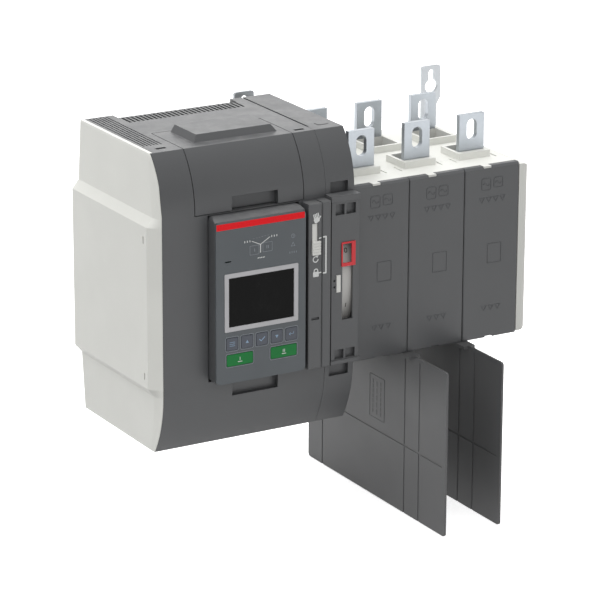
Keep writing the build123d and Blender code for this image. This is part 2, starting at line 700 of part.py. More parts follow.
def make_shaft_gear():
    """Large gear on the transfer shaft with the journal that runs in the drive frame."""
    with BuildPart() as shaft_gear:
        with BuildSketch(Plane.YZ.offset(GEAR_X[0])):
            with BuildLine():
                Polyline(*[(SHAFT_Y + p, SHAFT_Z + q) for p, q in gear_points(GEAR_TEETH)], close=True)
            make_face()
        extrude(amount=GEAR_X[1] - GEAR_X[0])
        rod(JOURNAL_RADIUS, (-124, GEAR_X[0] + 1), SHAFT_Y, SHAFT_Z)
        square = SHAFT_SIDE / 2 + 0.04
        block(
            (-130, -100),
            (SHAFT_Y - square, SHAFT_Y + square),
            (SHAFT_Z - square, SHAFT_Z + square),
            Mode.SUBTRACT,
        )
    save(shaft_gear, "shaft_gear")


def make_motor_pinion():
    """Pinion with the motor's spindle."""
    with BuildPart() as motor_pinion:
        with BuildSketch(Plane.YZ.offset(GEAR_X[0] + 0.5)):
            with BuildLine():
                Polyline(*[(SHAFT_Y + p, PINION_Z + q) for p, q in gear_points(PINION_TEETH)], close=True)
            make_face()
        extrude(amount=GEAR_X[1] - GEAR_X[0] - 1)
        rod(MOTOR_SHAFT_RADIUS, (-150, GEAR_X[0] + 1), SHAFT_Y, PINION_Z)
    save(motor_pinion, "motor_pinion")


def make_drive_motor():
    """Motor can bolted to the drive frame, with a bore for the spindle."""
    right = DRIVE_LEFT - 0.2 - FRAME_PLATE
    with BuildPart() as drive_motor:
        rod(MOTOR_RADIUS, (MOTOR_LEFT, right - 4), SHAFT_Y, PINION_Z)
        block((right - 5, right), (SHAFT_Y - 20, SHAFT_Y + 20), (PINION_Z - 16, PINION_Z + 20))
        rod(8, (MOTOR_LEFT - 6, MOTOR_LEFT + 1), SHAFT_Y, PINION_Z)
        rod(MOTOR_SHAFT_RADIUS + RUNNING_FIT, (-152, right + 1), SHAFT_Y, PINION_Z, Mode.SUBTRACT)
    save(drive_motor, "drive_motor")


def make_transfer_shaft():
    """Square shaft through the gearbox and all three poles."""
    with BuildPart() as transfer_shaft:
        half = SHAFT_SIDE / 2
        block((-123.5, 89.0), (SHAFT_Y - half, SHAFT_Y + half), (SHAFT_Z - half, SHAFT_Z + half))
        chamfer(transfer_shaft.edges().filter_by(Axis.X), 0.8)
    save(transfer_shaft, "transfer_shaft")


def make_controller_board():
    """Control board with supply transformer, capacitors and relays."""
    with BuildPart() as controller_board:
        block((-268, -152), (-45.8, -44), (-58, 58))
        block((-262, -222), (-86, -45), (-50, -12))
        for x in (-208, -190, -172):
            with Locations(Location((x, -62, -38), (90, 0, 0))):
                Cylinder(8, 34)
        for i in range(4):
            x = -262 + 26 * i
            block((x, x + 20), (-66, -45), (14, 44))
    save(controller_board, "controller_board")


def make_connector_block():
    """Row of pluggable control terminals on a shelf under the flap."""
    with BuildPart() as connector_block:
        block((-248, -150), (-150, -29), (94, 96))
        block((-246, -152), (-148, -124), (95.5, 108))
        block((-246, -152), (-136, -124), (107, 114))
        with Locations((-199, -148, 101)):
            with GridLocations(7.2, 1, 12, 1):
                Box(4.6, 12, 5, mode=Mode.SUBTRACT)
        with Locations((-199, -130, 113)):
            with GridLocations(7.2, 1, 12, 1):
                Cylinder(2.0, 8, mode=Mode.SUBTRACT)
    save(connector_block, "connector_block")


# -------------------------------------------------------------------- poles
def make_pole_housing(name, x0):
    """Light pole housing: open front, deck with two collars, shaft bearings."""
    half = POLE_PITCH / 2
    inner = half - HOUSING_WALL
    with BuildPart() as housing:
        block((x0 - half, x0 + half), (HOUSING_FRONT, HOUSING_REAR), (POLE_BOTTOM, DECK))
        block(
            (x0 - inner, x0 + inner),
            (HOUSING_FRONT - 1, HOUSING_REAR - 4),
            (POLE_BOTTOM + 4, DECK - 4.5),
            Mode.SUBTRACT,
        )
        opening = COLLAR_HALF - COLLAR_WALL
        for y, tab in ((FRONT_COLLAR_Y, FRONT_TAB_Y), (REAR_COLLAR_Y, REAR_TAB_Y)):
            block((x0 - COLLAR_HALF, x0 + COLLAR_HALF), y, (DECK - 1, DECK + COLLAR_HEIGHT))
            vent = (tab + TAB_THICK + 0.3, y[1] - COLLAR_WALL)
            if y is REAR_COLLAR_Y:
                vent = (y[0] + COLLAR_WALL, tab - 0.3)
            block((x0 - opening, x0 + opening), vent, (DECK - 6, DECK + 10), Mode.SUBTRACT)
            slot = TAB_WIDTH / 2 + 0.1
            block((x0 - slot, x0 + slot), (tab - 0.05, tab + TAB_THICK + 0.35), (70, 100), Mode.SUBTRACT)
        slot = TAB_WIDTH / 2 + 0.1
        middle = (SHAFT_Y - TAB_THICK / 2 - 0.05, SHAFT_Y + TAB_THICK / 2 + 0.05)
        block((x0 - slot, x0 + slot), middle, (POLE_BOTTOM - 1, POLE_BOTTOM + 6), Mode.SUBTRACT)
        rod(JOURNAL_RADIUS + RUNNING_FIT, (x0 - 31, x0 + 31), SHAFT_Y, SHAFT_Z, Mode.SUBTRACT)
        block((x0 + CLIP_X[0], x0 + CLIP_X[1]), (POLE_FRONT + 0.6, HOUSING_FRONT + 1), (DECK - 2.4, DECK + 0.4))
        for side in (-1, 1):
            x = x0 + side * (half - 8)
            block((x - 0.8, x + 0.8), (-153, -139), (DECK - 1.5, DECK + 1), Mode.SUBTRACT)
        for x in (-RAIL_SCREW_X, RAIL_SCREW_X):
            if abs(x - x0) < half:
                for z in RAIL_SCREW_Z:
                    pin(2.55, x, (HOUSING_REAR - 5, HOUSING_REAR + 1), z, Mode.SUBTRACT)
    save(housing, f"pole_{name}_housing")


def make_pole_cover(name, x0):
    """Dark front cover of a pole with clip notches in its top and bottom edges."""
    half = POLE_PITCH / 2 - COVER_GAP
    with BuildPart() as cover:
        block((x0 - half, x0 + half), (POLE_FRONT, HOUSING_FRONT), (POLE_BOTTOM, DECK + 0.3))
        front_edges = cover.faces().sort_by(Axis.Y)[0].edges()
        chamfer(front_edges.sort_by(Axis.Z)[:3], COVER_EDGE)
        chamfer(cover.faces().sort_by(Axis.Y)[0].edges().sort_by(Axis.Z)[-1], COVER_SLOPE)
        block(
            (x0 + CLIP_X[0] - 0.15, x0 + CLIP_X[1] + 0.15),
            (POLE_FRONT + 0.45, HOUSING_FRONT + 1),
            (DECK - 2.55, DECK + 2),
            Mode.SUBTRACT,
        )
        block(
            (x0 + CLIP_X[0] - 0.15, x0 + CLIP_X[1] + 0.15),
            (POLE_FRONT - 1, HOUSING_FRONT + 1),
            (DECK - 0.9, DECK + 2),
            Mode.SUBTRACT,
        )
        block((x0 - 4.7, x0 + 4.3), (POLE_FRONT - 1, -176), (POLE_BOTTOM - 1, POLE_BOTTOM + 1.6), Mode.SUBTRACT)
    save(cover, f"pole_{name}_cover")


def make_end_plate():
    """Light plate closing the right-hand end, with the last shaft bearing."""
    with BuildPart() as end_plate:
        block(END_PLATE_X, (POLE_FRONT, HOUSING_REAR), (POLE_BOTTOM + 1.5, POLE_TOP - 1))
        fillet(end_plate.faces().sort_by(Axis.X)[-1].edges(), END_PLATE_ROUND)
        rod(JOURNAL_RADIUS, (80, 95), SHAFT_Y, SHAFT_Z, Mode.SUBTRACT)
    save(end_plate, "end_plate")


def slotted_tab(x0, y0, z, slot_z):
    """Vertical terminal strip with a round-ended bolt slot, skimmed where it enters the pole."""
    half = TAB_WIDTH / 2
    block((x0 - half, x0 + half), (y0, y0 + TAB_THICK), z)
    skim = (z[0] - 1, SEAT_START) if slot_z > 0 else (LOAD_SEAT_START, z[1] + 1)
    for y in (y0, y0 + TAB_THICK):
        block((x0 - 20, x0 + 20), (y - SEAT_STEP, y + SEAT_STEP), skim, Mode.SUBTRACT)
    with BuildSketch(Plane.XZ.offset(1 - y0)) as slot:
        with Locations((x0, slot_z)):
            SlotOverall(TAB_SLOT[1], TAB_SLOT[0], rotation=90)
    extrude(slot.sketch, amount=-TAB_THICK - 2, mode=Mode.SUBTRACT)


def make_source_terminal(name, x0, y0, inward):
    """Source terminal: strip through the deck and a pair of contact jaws below."""
    with BuildPart() as terminal:
        slotted_tab(x0, y0, (38.0, TAB_TOP), TAB_SLOT_Z)
        near = y0 + TAB_THICK if inward > 0 else y0
        far = near + inward * 17.5
        y = (min(near - inward, far), max(near - inward, far))
        gap = BLADE_THICK / 2 + JAW_GAP
        for x in ((x0 + gap, x0 + gap + JAW_THICK), (x0 - gap - JAW_THICK, x0 - gap)):
            block(x, y, (38.0, 60.0))
        block((x0 - 4.3, x0 + 4.3), (y0, y0 + TAB_THICK), (38.0, 40.0))
    save(terminal, name)


def make_load_terminal(name, x0):
    """Load terminal: strip through the floor and wide jaws around the blade's tail."""
    y0 = SHAFT_Y - TAB_THICK / 2
    with BuildPart() as terminal:
        slotted_tab(x0, y0, (TAB_BOTTOM, -38.0), TAB_BOTTOM + 14.8)
        gap = BLADE_THICK / 2 + JAW_GAP
        for x in ((x0 + gap, x0 + gap + JAW_THICK), (x0 - gap - JAW_THICK, x0 - gap)):
            block(x, (SHAFT_Y - 27, SHAFT_Y + 27), (-44.0, -24.5))
    save(terminal, name)


def make_contact_rotor(name, x0):
    """Insulating rotor with journals, a square bore and the blade's slot."""
    with BuildPart() as rotor:
        rod(ROTOR_RADIUS, (x0 - 21, x0 + 21), SHAFT_Y, SHAFT_Z)
        rod(JOURNAL_RADIUS, (x0 - 29.6, x0 + 29.6), SHAFT_Y, SHAFT_Z)
        square = SHAFT_SIDE / 2 + 0.04
        block(
            (x0 - 31, x0 + 31),
            (SHAFT_Y - square, SHAFT_Y + square),
            (SHAFT_Z - square, SHAFT_Z + square),
            Mode.SUBTRACT,
        )
        thick = BLADE_THICK / 2 + 0.05
        wide = BLADE_HALF_WIDTH + 0.05
        block(
            (x0 - thick, x0 + thick),
            (SHAFT_Y - wide, SHAFT_Y + wide),
            (SHAFT_Z - 30, SHAFT_Z + 30),
            Mode.SUBTRACT,
        )
        rod(15.05, (x0 - thick, x0 + thick), SHAFT_Y, SHAFT_Z, Mode.SUBTRACT)
    save(rotor, f"contact_rotor_{name}")


def make_contact_blade(name, x0):
    """Copper blade: long arm up to the source jaws, short tail in the load jaws."""
    half = BLADE_THICK / 2
    with BuildPart() as blade:
        block(
            (x0 - half, x0 + half),
            (SHAFT_Y - BLADE_HALF_WIDTH, SHAFT_Y + BLADE_HALF_WIDTH),
            (SHAFT_Z - BLADE_TAIL, SHAFT_Z + BLADE_TIP),
        )
        rod(15, (x0 - half, x0 + half), SHAFT_Y, SHAFT_Z)
        square = SHAFT_SIDE / 2 + 0.04
        block(
            (x0 - 5, x0 + 5),
            (SHAFT_Y - square, SHAFT_Y + square),
            (SHAFT_Z - square, SHAFT_Z + square),
            Mode.SUBTRACT,
        )
    save(blade, f"contact_blade_{name}")


# ----------------------------------------------------- barriers and mounting
def make_phase_barrier(name, x0):
    """Thin insulating sheet with score lines and a T-shaped clip at its top."""
    half = BARRIER_THICK / 2
    top = POLE_BOTTOM
    with BuildPart() as barrier:
        block((x0 - half, x0 + half), BARRIER_Y, (BARRIER_BOTTOM, top))
        fillet(barrier.edges().filter_by(Axis.X), 3)
        for side in (-1, 1):
            x = x0 + side * half
            skin = (x - SCORE_DEPTH, x + SCORE_DEPTH)
            cross = (SCORE_Z - SCORE_WIDTH / 2, SCORE_Z + SCORE_WIDTH / 2)
            block(skin, (-244, -66), cross, Mode.SUBTRACT)
            for y in SCORE_Y:
                upright = (y - SCORE_WIDTH / 2, y + SCORE_WIDTH / 2)
                block(skin, upright, (BARRIER_BOTTOM - 1, top - 4), Mode.SUBTRACT)
        block((x0 - 6, x0 + 6), (-193, -173), (top - 3, top))
        block((x0 - 5, x0 + 5), (-60, -40), (top - 3, top))
    save(barrier, name)


def make_mounting_rail(name, side):
    """Folded steel rail with a keyhole ear on top and a round hole below."""
    inner = FIXING_X - EAR_WIDTH / 2
    outer = FIXING_X + EAR_WIDTH / 2
    narrow = inner + RAIL_WIDTH

    def span(a, b):
        return (a, b) if side > 0 else (-b, -a)

    with BuildPart() as rail:
        with BuildSketch(Plane.XZ):
            with BuildLine():
                corners = (
                    (inner, -RAIL_END),
                    (outer, -RAIL_END),
                    (outer, -105),
                    (narrow, -98),
                    (narrow, 98),
                    (outer, 105),
                    (outer, RAIL_END),
                    (inner, RAIL_END),
                )
                Polyline(*[(side * x, z) for x, z in corners], close=True)
            make_face()
        extrude(amount=RAIL_THICK)
        upright = [e for e in rail.edges().filter_by(Axis.Y) if abs(e.center().Z) > FIXING_Z]
        fillet(upright, 2.5)
        block(span(inner, inner + RAIL_THICK), (-20, -1), FOOT_Z)
        block(span(FOOT_INNER, inner + RAIL_THICK), (HOUSING_REAR, HOUSING_REAR + RAIL_THICK), FOOT_Z)
        x = side * FIXING_X
        for z in (-FIXING_Z, FIXING_Z):
            pin(FIXING_RADIUS, x, (-10, 5), z, Mode.SUBTRACT)
        low = FIXING_Z - KEYHOLE_DROP
        block((x - FIXING_RADIUS, x + FIXING_RADIUS), (-10, 5), (low, FIXING_Z), Mode.SUBTRACT)
        pin(KEYHOLE_RADIUS, x, (-10, 5), low, Mode.SUBTRACT)
        for z in RAIL_SCREW_Z:
            pin(2.65, side * RAIL_SCREW_X, (-25, -15), z, Mode.SUBTRACT)
    save(rail, name)


def make_rail_screws():
    """Four pan-head screws through the rail feet into the pole housings."""
    with BuildPart() as rail_screws:
        for x in (-RAIL_SCREW_X, RAIL_SCREW_X):
            for z in RAIL_SCREW_Z:
                pin(2.5, x, (HOUSING_REAR - 3.8, HOUSING_REAR + RAIL_THICK + 1), z)
                pin(4.6, x, (HOUSING_REAR + RAIL_THICK, HOUSING_REAR + RAIL_THICK + 3), z)
                pin(1.6, x, (HOUSING_REAR + RAIL_THICK + 1.4, HOUSING_REAR + 8), z, Mode.SUBTRACT)
    save(rail_screws, "rail_screws")


def make_back_plate_screws():
    """Four screws holding the back plate to the front cover's bosses."""
    with BuildPart() as back_plate_screws:
        for x in BACK_SCREW_X:
            for z in (-BACK_SCREW_Z, BACK_SCREW_Z):
                pin(1.7, x, (-40, CASE_REAR + 0.5), z)
                pin(3.2, x, (CASE_REAR, CASE_REAR + 2), z)
                pin(1.1, x, (CASE_REAR + 0.9, CASE_REAR + 3), z, Mode.SUBTRACT)
    save(back_plate_screws, "back_plate_screws")


make_side_cover()
make_front_cover()
make_connector_flap()
make_gearbox_cover()
make_back_plate()
make_drive_frame()
make_hmi_housing()
make_hmi_face()
make_display()
for index, key_name in enumerate(KEY_NAMES):
    make_key(key_name, KEY_FIRST_X + index * KEY_PITCH, KEY_Z, (KEY_SIZE, KEY_SIZE))
for key_name, key_x in SOURCE_KEY_X.items():
    make_key(key_name, key_x, SOURCE_KEY_Z, SOURCE_KEY_SIZE)
make_hmi_board()
make_hmi_dock()
make_selector_strip()
make_mode_slider()
make_padlock_latch()
make_handle_housing()
make_indicator_bezel()
make_tell_tale_bar()
make_indicator_drum()
make_shaft_gear()
make_motor_pinion()
make_drive_motor()
make_transfer_shaft()
make_controller_board()
make_connector_block()
for pole_name, pole_x in zip(POLE_NAMES, POLE_X):
    make_pole_housing(pole_name, pole_x)
    make_pole_cover(pole_name, pole_x)
    make_source_terminal(f"front_terminal_{pole_name}", pole_x, FRONT_TAB_Y, 1)
    make_source_terminal(f"rear_terminal_{pole_name}", pole_x, REAR_TAB_Y, -1)
    make_load_terminal(f"load_terminal_{pole_name}", pole_x)
    make_contact_rotor(pole_name, pole_x)
    make_contact_blade(pole_name, pole_x)
make_end_plate()
make_phase_barrier("left_phase_barrier", BARRIER_X[0])
make_phase_barrier("right_phase_barrier", BARRIER_X[1])
make_mounting_rail("left_mounting_rail", -1)
make_mounting_rail("right_mounting_rail", 1)
make_rail_screws()
make_back_plate_screws()
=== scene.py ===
"""Looks of an automatic transfer switch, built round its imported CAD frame."""

import logging
import math
from dataclasses import dataclass, field
from enum import Enum
from typing import Any, Optional, Sequence, Union

import bpy
from mathutils import Matrix, Vector


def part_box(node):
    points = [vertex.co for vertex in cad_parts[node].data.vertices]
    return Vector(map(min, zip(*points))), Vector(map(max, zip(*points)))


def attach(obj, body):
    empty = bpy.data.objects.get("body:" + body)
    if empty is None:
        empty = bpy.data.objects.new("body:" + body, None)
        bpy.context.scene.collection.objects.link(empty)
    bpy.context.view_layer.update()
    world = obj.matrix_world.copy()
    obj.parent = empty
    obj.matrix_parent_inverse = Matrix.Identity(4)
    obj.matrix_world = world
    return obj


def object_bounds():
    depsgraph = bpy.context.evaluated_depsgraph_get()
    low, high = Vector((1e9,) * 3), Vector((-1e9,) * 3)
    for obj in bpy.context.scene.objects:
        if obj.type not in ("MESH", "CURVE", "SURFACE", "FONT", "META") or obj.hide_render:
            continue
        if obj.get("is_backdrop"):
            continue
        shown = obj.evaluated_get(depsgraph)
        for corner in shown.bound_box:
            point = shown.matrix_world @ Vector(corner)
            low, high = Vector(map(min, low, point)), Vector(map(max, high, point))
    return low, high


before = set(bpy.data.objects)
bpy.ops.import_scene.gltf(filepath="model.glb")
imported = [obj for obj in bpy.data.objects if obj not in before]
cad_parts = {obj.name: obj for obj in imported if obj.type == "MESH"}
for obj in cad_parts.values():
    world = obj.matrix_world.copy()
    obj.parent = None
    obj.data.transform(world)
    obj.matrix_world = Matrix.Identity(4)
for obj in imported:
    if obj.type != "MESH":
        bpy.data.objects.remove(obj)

log = logging.getLogger("transfer_switch")

MM = 0.001
Colour = tuple[float, float, float]
Point = tuple[float, float]
Operand = Union["Wire", float]
POLES = ("one", "two", "three")
SMALL_KEYS = ("menu_key", "up_key", "confirm_key", "down_key", "return_key")


# ------------------------------------------------------------ shader maths
class Wire:
    """A shader value that takes part in plain arithmetic."""

    def __init__(self, canvas: "Canvas", socket: bpy.types.NodeSocket) -> None:
        """Keep the socket and the canvas that new nodes go on."""
        self.canvas = canvas
        self.socket = socket

    def _math(self, operation: str, *values: Operand, clamp: bool = False) -> "Wire":
        """Add one Math node and return its value."""
        settings = {"operation": operation, "use_clamp": clamp}
        return self.canvas.wire("ShaderNodeMath", 0, settings, dict(enumerate(values)))

    def __add__(self, other: Operand) -> "Wire":
        """Sum."""
        return self._math("ADD", self, other)

    def __radd__(self, other: Operand) -> "Wire":
        """Sum with a number on the left."""
        return self._math("ADD", other, self)

    def __sub__(self, other: Operand) -> "Wire":
        """Difference."""
        return self._math("SUBTRACT", self, other)

    def __rsub__(self, other: Operand) -> "Wire":
        """Difference from a number on the left."""
        return self._math("SUBTRACT", other, self)

    def __mul__(self, other: Operand) -> "Wire":
        """Product."""
        return self._math("MULTIPLY", self, other)

    def __rmul__(self, other: Operand) -> "Wire":
        """Product with a number on the left."""
        return self._math("MULTIPLY", other, self)

    def clamped(self) -> "Wire":
        """The value held between 0 and 1."""
        return self._math("ADD", self, 0.0, clamp=True)

    def span(self, low: float, high: float, bottom: float = 0.0, top: float = 1.0) -> "Wire":
        """Map low..high smoothly onto bottom..top.

        Args:
            low: Value that gives bottom.
            high: Value that gives top.
            bottom: Result at low and below.
            top: Result at high and above.

        Returns:
            The mapped value.
        """
        settings = {"interpolation_type": "SMOOTHSTEP"}
        sockets = {0: self, 1: low, 2: high, 3: bottom, 4: top}
        return self.canvas.wire("ShaderNodeMapRange", 0, settings, sockets)


class Canvas:
    """Node tree of one finish, with a single method that adds nodes."""

    def __init__(self, name: str) -> None:
        """Start an empty material of that name."""
        self.material = bpy.data.materials.new(name)
        self.material.use_nodes = True
        self.tree = self.material.node_tree
        self.tree.nodes.clear()
        self._place: Optional[Wire] = None

    @classmethod
    def of_world(cls, world: bpy.types.World) -> "Canvas":
        """Work on a world's tree, with the nodes it already has.

        Args:
            world: The world, with its nodes in use.

        Returns:
            A canvas over that tree.
        """
        canvas = cls.__new__(cls)
        canvas.tree = world.node_tree
        canvas._place = None
        return canvas

    def node(
        self,
        kind: str,
        settings: Optional[dict[str, Any]] = None,
        sockets: Optional[dict[Union[int, str], Any]] = None,
    ) -> bpy.types.Node:
        """Add one node.

        Args:
            kind: Blender's name of the node type.
            settings: Properties of the node, set first.
            sockets: Values or wires of its inputs, by name or number.

        Returns:
            The new node.
        """
        made = self.tree.nodes.new(kind)
        for key, value in (settings or {}).items():
            setattr(made, key, value)
        for key, value in (sockets or {}).items():
            if isinstance(value, Wire):
                self.tree.links.new(value.socket, made.inputs[key])
            else:
                made.inputs[key].default_value = value
        return made

    def wire(
        self,
        kind: str,
        output: Union[int, str],
        settings: Optional[dict[str, Any]] = None,
        sockets: Optional[dict[Union[int, str], Any]] = None,
    ) -> Wire:
        """Add one node and return one of its outputs as a wire."""
        return Wire(self, self.node(kind, settings, sockets).outputs[output])

    def place(self) -> Wire:
        """The point on the piece, in metres."""
        if self._place is None:
            self._place = self.wire("ShaderNodeTexCoord", "Object")
        return self._place

    def stretched(self, scale: Sequence[float]) -> Wire:
        """The point on the piece with each axis scaled, for brushed or drawn patterns."""
        sockets = {"Vector": self.place(), "Scale": tuple(scale)}
        return self.wire("ShaderNodeMapping", 0, {"vector_type": "POINT"}, sockets)

    def noise(self, scale: float, detail: float = 2.0, rough: float = 0.5, at: Optional[Wire] = None) -> Wire:
        """Soft noise from 0 to 1.

        Args:
            scale: Cells to the metre.
            detail: Number of octaves.
            rough: How strong the finer octaves are.
            at: Point to read, or the point on the piece.

        Returns:
            The noise value.
        """
        sockets = {"Vector": at or self.place(), "Scale": scale, "Detail": detail, "Roughness": rough}
        return self.wire("ShaderNodeTexNoise", 0, None, sockets)

    def cells(self, scale: float, at: Optional[Wire] = None) -> Wire:
        """Distance to the nearest cell point, 0 at its middle."""
        sockets = {"Vector": at or self.place(), "Scale": scale}
        return self.wire("ShaderNodeTexVoronoi", "Distance", None, sockets)

    def blend(self, factor: Operand, first: Any, second: Any) -> Wire:
        """Colour between first and second."""
        colours = [(*c, 1.0) if isinstance(c, tuple) and len(c) == 3 else c for c in (first, second)]
        settings = {"data_type": "RGBA", "clamp_factor": True}
        return self.wire("ShaderNodeMix", 2, settings, {0: factor, 6: colours[0], 7: colours[1]})

    def soft_edge(self, radius: float) -> Wire:
        """Normal that rounds sharp edges by that radius, in metres."""
        return self.wire("ShaderNodeBevel", 0, {"samples": 4}, {"Radius": radius})

    def edge_mask(self, soft: Wire, gain: float) -> Wire:
        """One along sharp edges and nought on open faces."""
        true = self.wire("ShaderNodeNewGeometry", "Normal")
        dot = self.wire("ShaderNodeVectorMath", "Value", {"operation": "DOT_PRODUCT"}, {0: soft, 1: true})
        return ((1.0 - dot) * gain).clamped()

    def upward(self) -> Wire:
        """One on faces that look up, where dust settles."""
        true = self.wire("ShaderNodeNewGeometry", "Normal")
        height = self.wire("ShaderNodeSeparateXYZ", "Z", None, {0: true})
        return height.span(0.75, 0.98)

    def bump(self, height: Wire, depth: float, soft: Wire) -> Wire:
        """Normal of a relief that is that deep, laid on the rounded edges."""
        sockets = {"Height": height, "Distance": depth, "Strength": 1.0, "Normal": soft}
        return self.wire("ShaderNodeBump", 0, None, sockets)

    def finish(self, **sockets: Any) -> bpy.types.Material:
        """Join a Principled shader to the output.

        Args:
            **sockets: Its inputs, with an underscore for each space.

        Returns:
            The finished material.
        """
        named = {key.replace("_", " "): value for key, value in sockets.items()}
        shader = self.wire("ShaderNodeBsdfPrincipled", 0, None, named)
        self.node("ShaderNodeOutputMaterial", None, {"Surface": shader})
        return self.material


def tint(colour: Colour, gain: float) -> Colour:
    """A lighter or darker version of a colour.

    Args:
        colour: Linear red, green and blue.
        gain: Factor on all three.

    Returns:
        The new colour, held below 1.
    """
    return tuple(min(1.0, part * gain) for part in colour)


# ---------------------------------------------------------------- finishes
@dataclass(frozen=True)
class Finish:
    """A surface finish that paints one material."""

    name: str
    colour: Colour

    def paint(self) -> bpy.types.Material:
        """Build the material. Each finish has its own."""
        raise NotImplementedError


@dataclass(frozen=True)
class MouldedPlastic(Finish):
    """Spark-grained thermoplastic with painted highlights along its edges and a trace of dust."""

    roughness: float = 0.46
    grain: float = 0.000012
    edge: float = 0.0006
    # gain of the painted highlight along the edges
    edge_highlight: float = 1.35
    dust: float = 0.10
    gloss: float = 0.5

    def paint(self) -> bpy.types.Material:
        """Build the material."""
        c = Canvas(self.name)
        soft = c.soft_edge(self.edge)
        cloud = c.noise(9.0, 3.0)
        fleck = c.noise(420.0, 2.0)
        body = c.blend(cloud.span(0.35, 0.65), tint(self.colour, 0.965), tint(self.colour, 1.03))
        body = c.blend(fleck.span(0.6, 0.85) * 0.25, body, tint(self.colour, 1.18))
        # painted highlight: edges lightened toward a brighter tint of the colour
        body = c.blend(c.edge_mask(soft, 2.2) * 0.5, body, tint(self.colour, self.edge_highlight))
        settled = c.upward() * c.noise(60.0, 4.0, 0.65).span(0.35, 0.75) * self.dust
        body = c.blend(settled, body, (0.50, 0.49, 0.47))
        rough = self.roughness + (cloud - 0.5) * 0.10 + (c.noise(38.0, 3.0) - 0.5) * 0.08
        grain = c.noise(1900.0, 2.0, 0.6) + c.cells(1100.0) * 0.4 + c.noise(30.0, 1.0) * 1.6
        return c.finish(
            Base_Color=body,
            Roughness=rough.clamped(),
            Normal=c.bump(grain, self.grain, soft),
            Specular_IOR_Level=self.gloss,
        )


@dataclass(frozen=True)
class SatinFoil(Finish):
    """Printed polycarbonate foil with a fine even texture."""

    roughness: float = 0.42
    edge: float = 0.00025
    gloss: float = 0.45

    def paint(self) -> bpy.types.Material:
        """Build the material."""
        c = Canvas(self.name)
        soft = c.soft_edge(self.edge)
        cloud = c.noise(26.0, 3.0)
        wiped = c.noise(1.0, 3.0, 0.6, c.stretched((40.0, 30.0, 6.0)))
        body = c.blend(cloud.span(0.3, 0.7), tint(self.colour, 0.96), tint(self.colour, 1.04))
        # painted highlight: edges lightened toward a brighter tint of the colour
        body = c.blend(c.edge_mask(soft, 2.0) * 0.35, body, tint(self.colour, 1.5))
        rough = self.roughness + (wiped - 0.5) * 0.14
        relief = c.cells(1500.0) + c.noise(2600.0, 1.0) * 0.5
        return c.finish(
            Base_Color=body,
            Roughness=rough.clamped(),
            Normal=c.bump(relief, 0.000006, soft),
            Specular_IOR_Level=self.gloss,
        )


@dataclass(frozen=True)
class PrintInk(Finish):
    """Screen-printed ink: slightly uneven cover and a dry surface."""

    roughness: float = 0.5

    def paint(self) -> bpy.types.Material:
        """Build the material."""
        c = Canvas(self.name)
        soft = c.soft_edge(0.00008)
        thin = c.noise(900.0, 3.0, 0.6)
        body = c.blend(thin.span(0.4, 0.75), self.colour, tint(self.colour, 0.86))
        rough = self.roughness + (c.noise(300.0, 2.0) - 0.5) * 0.16
        return c.finish(
            Base_Color=body,
            Roughness=rough.clamped(),
            Normal=c.bump(thin, 0.000006, soft),
            Specular_IOR_Level=0.2,
        )


@dataclass(frozen=True)
class DisplayGlass(Finish):
    """Black display pane with faint finger smudges."""

    roughness: float = 0.16

    def paint(self) -> bpy.types.Material:
        """Build the material."""
        c = Canvas(self.name)
        soft = c.soft_edge(0.0002)
        smudge = c.noise(1.0, 4.0, 0.62, c.stretched((70.0, 50.0, 46.0))).span(0.48, 0.72)
        speck = c.noise(800.0, 2.0).span(0.68, 0.8)
        body = c.blend(smudge * 0.5 + speck * 0.3, self.colour, tint(self.colour, 2.2))
        return c.finish(
            Base_Color=body,
            Roughness=(self.roughness + smudge * 0.16 + speck * 0.1).clamped(),
            Normal=c.bump(c.noise(45.0, 1.0), 0.00001, soft),
            Specular_IOR_Level=0.06,
        )


@dataclass(frozen=True)
class PlatedMetal(Finish):
    """Plated or bare metal strip: drawn lines, soft mottling and painted highlights along the edges."""

    roughness: float = 0.36
    drawn: Sequence[float] = (900.0, 900.0, 26.0)
    mottle: float = 0.10
    edge: float = 0.0004
    tarnish: Colour = (0.40, 0.42, 0.44)
    spread: float = 0.14

    def paint(self) -> bpy.types.Material:
        """Build the material."""
        c = Canvas(self.name)
        soft = c.soft_edge(self.edge)
        lines = c.noise(1.0, 3.0, 0.6, c.stretched(self.drawn))
        patch = c.noise(55.0, 4.0, 0.6)
        crystal = c.cells(260.0)
        body = c.blend(patch.span(0.35, 0.7), tint(self.colour, 0.95), tint(self.colour, 1.05))
        body = c.blend((crystal * self.mottle * 2.0).clamped(), body, tint(self.colour, 0.84))
        body = c.blend(patch.span(0.62, 0.85) * 0.35, body, self.tarnish)
        # painted highlight: edges lightened toward a brighter tint of the colour
        body = c.blend(c.edge_mask(soft, 2.0) * 0.6, body, tint(self.colour, 1.15))
        rough = self.roughness + (lines - 0.5) * self.spread + (patch - 0.5) * self.spread
        relief = lines + crystal * 0.3
        return c.finish(
            Base_Color=body,
            Metallic=1.0,
            Roughness=rough.clamped(),
            Normal=c.bump(relief, 0.000010, soft),
        )


@dataclass(frozen=True)
class BoardMask(Finish):
    """Solder mask over copper tracks and rows of tinned pads."""

    pitch: float = 390.0

    def paint(self) -> bpy.types.Material:
        """Build the material."""
        c = Canvas(self.name)
        soft = c.soft_edge(0.0002)
        tracks = c.noise(1.0, 1.0, 0.5, c.stretched((260.0, 260.0, 24.0))).span(0.52, 0.56)
        pads = 1.0 - c.cells(self.pitch).span(0.16, 0.2)
        weave = c.noise(1400.0, 2.0)
        body = c.blend(tracks, self.colour, tint(self.colour, 1.7))
        body = c.blend(pads, body, (0.62, 0.62, 0.60))
        body = c.blend(weave * 0.15, body, tint(self.colour, 0.6))
        return c.finish(
            Base_Color=body,
            Metallic=pads,
            Roughness=(0.34 + weave * 0.12 - pads * 0.06).clamped(),
            Normal=c.bump(tracks + pads * 0.6 + weave * 0.1, 0.00003, soft),
        )


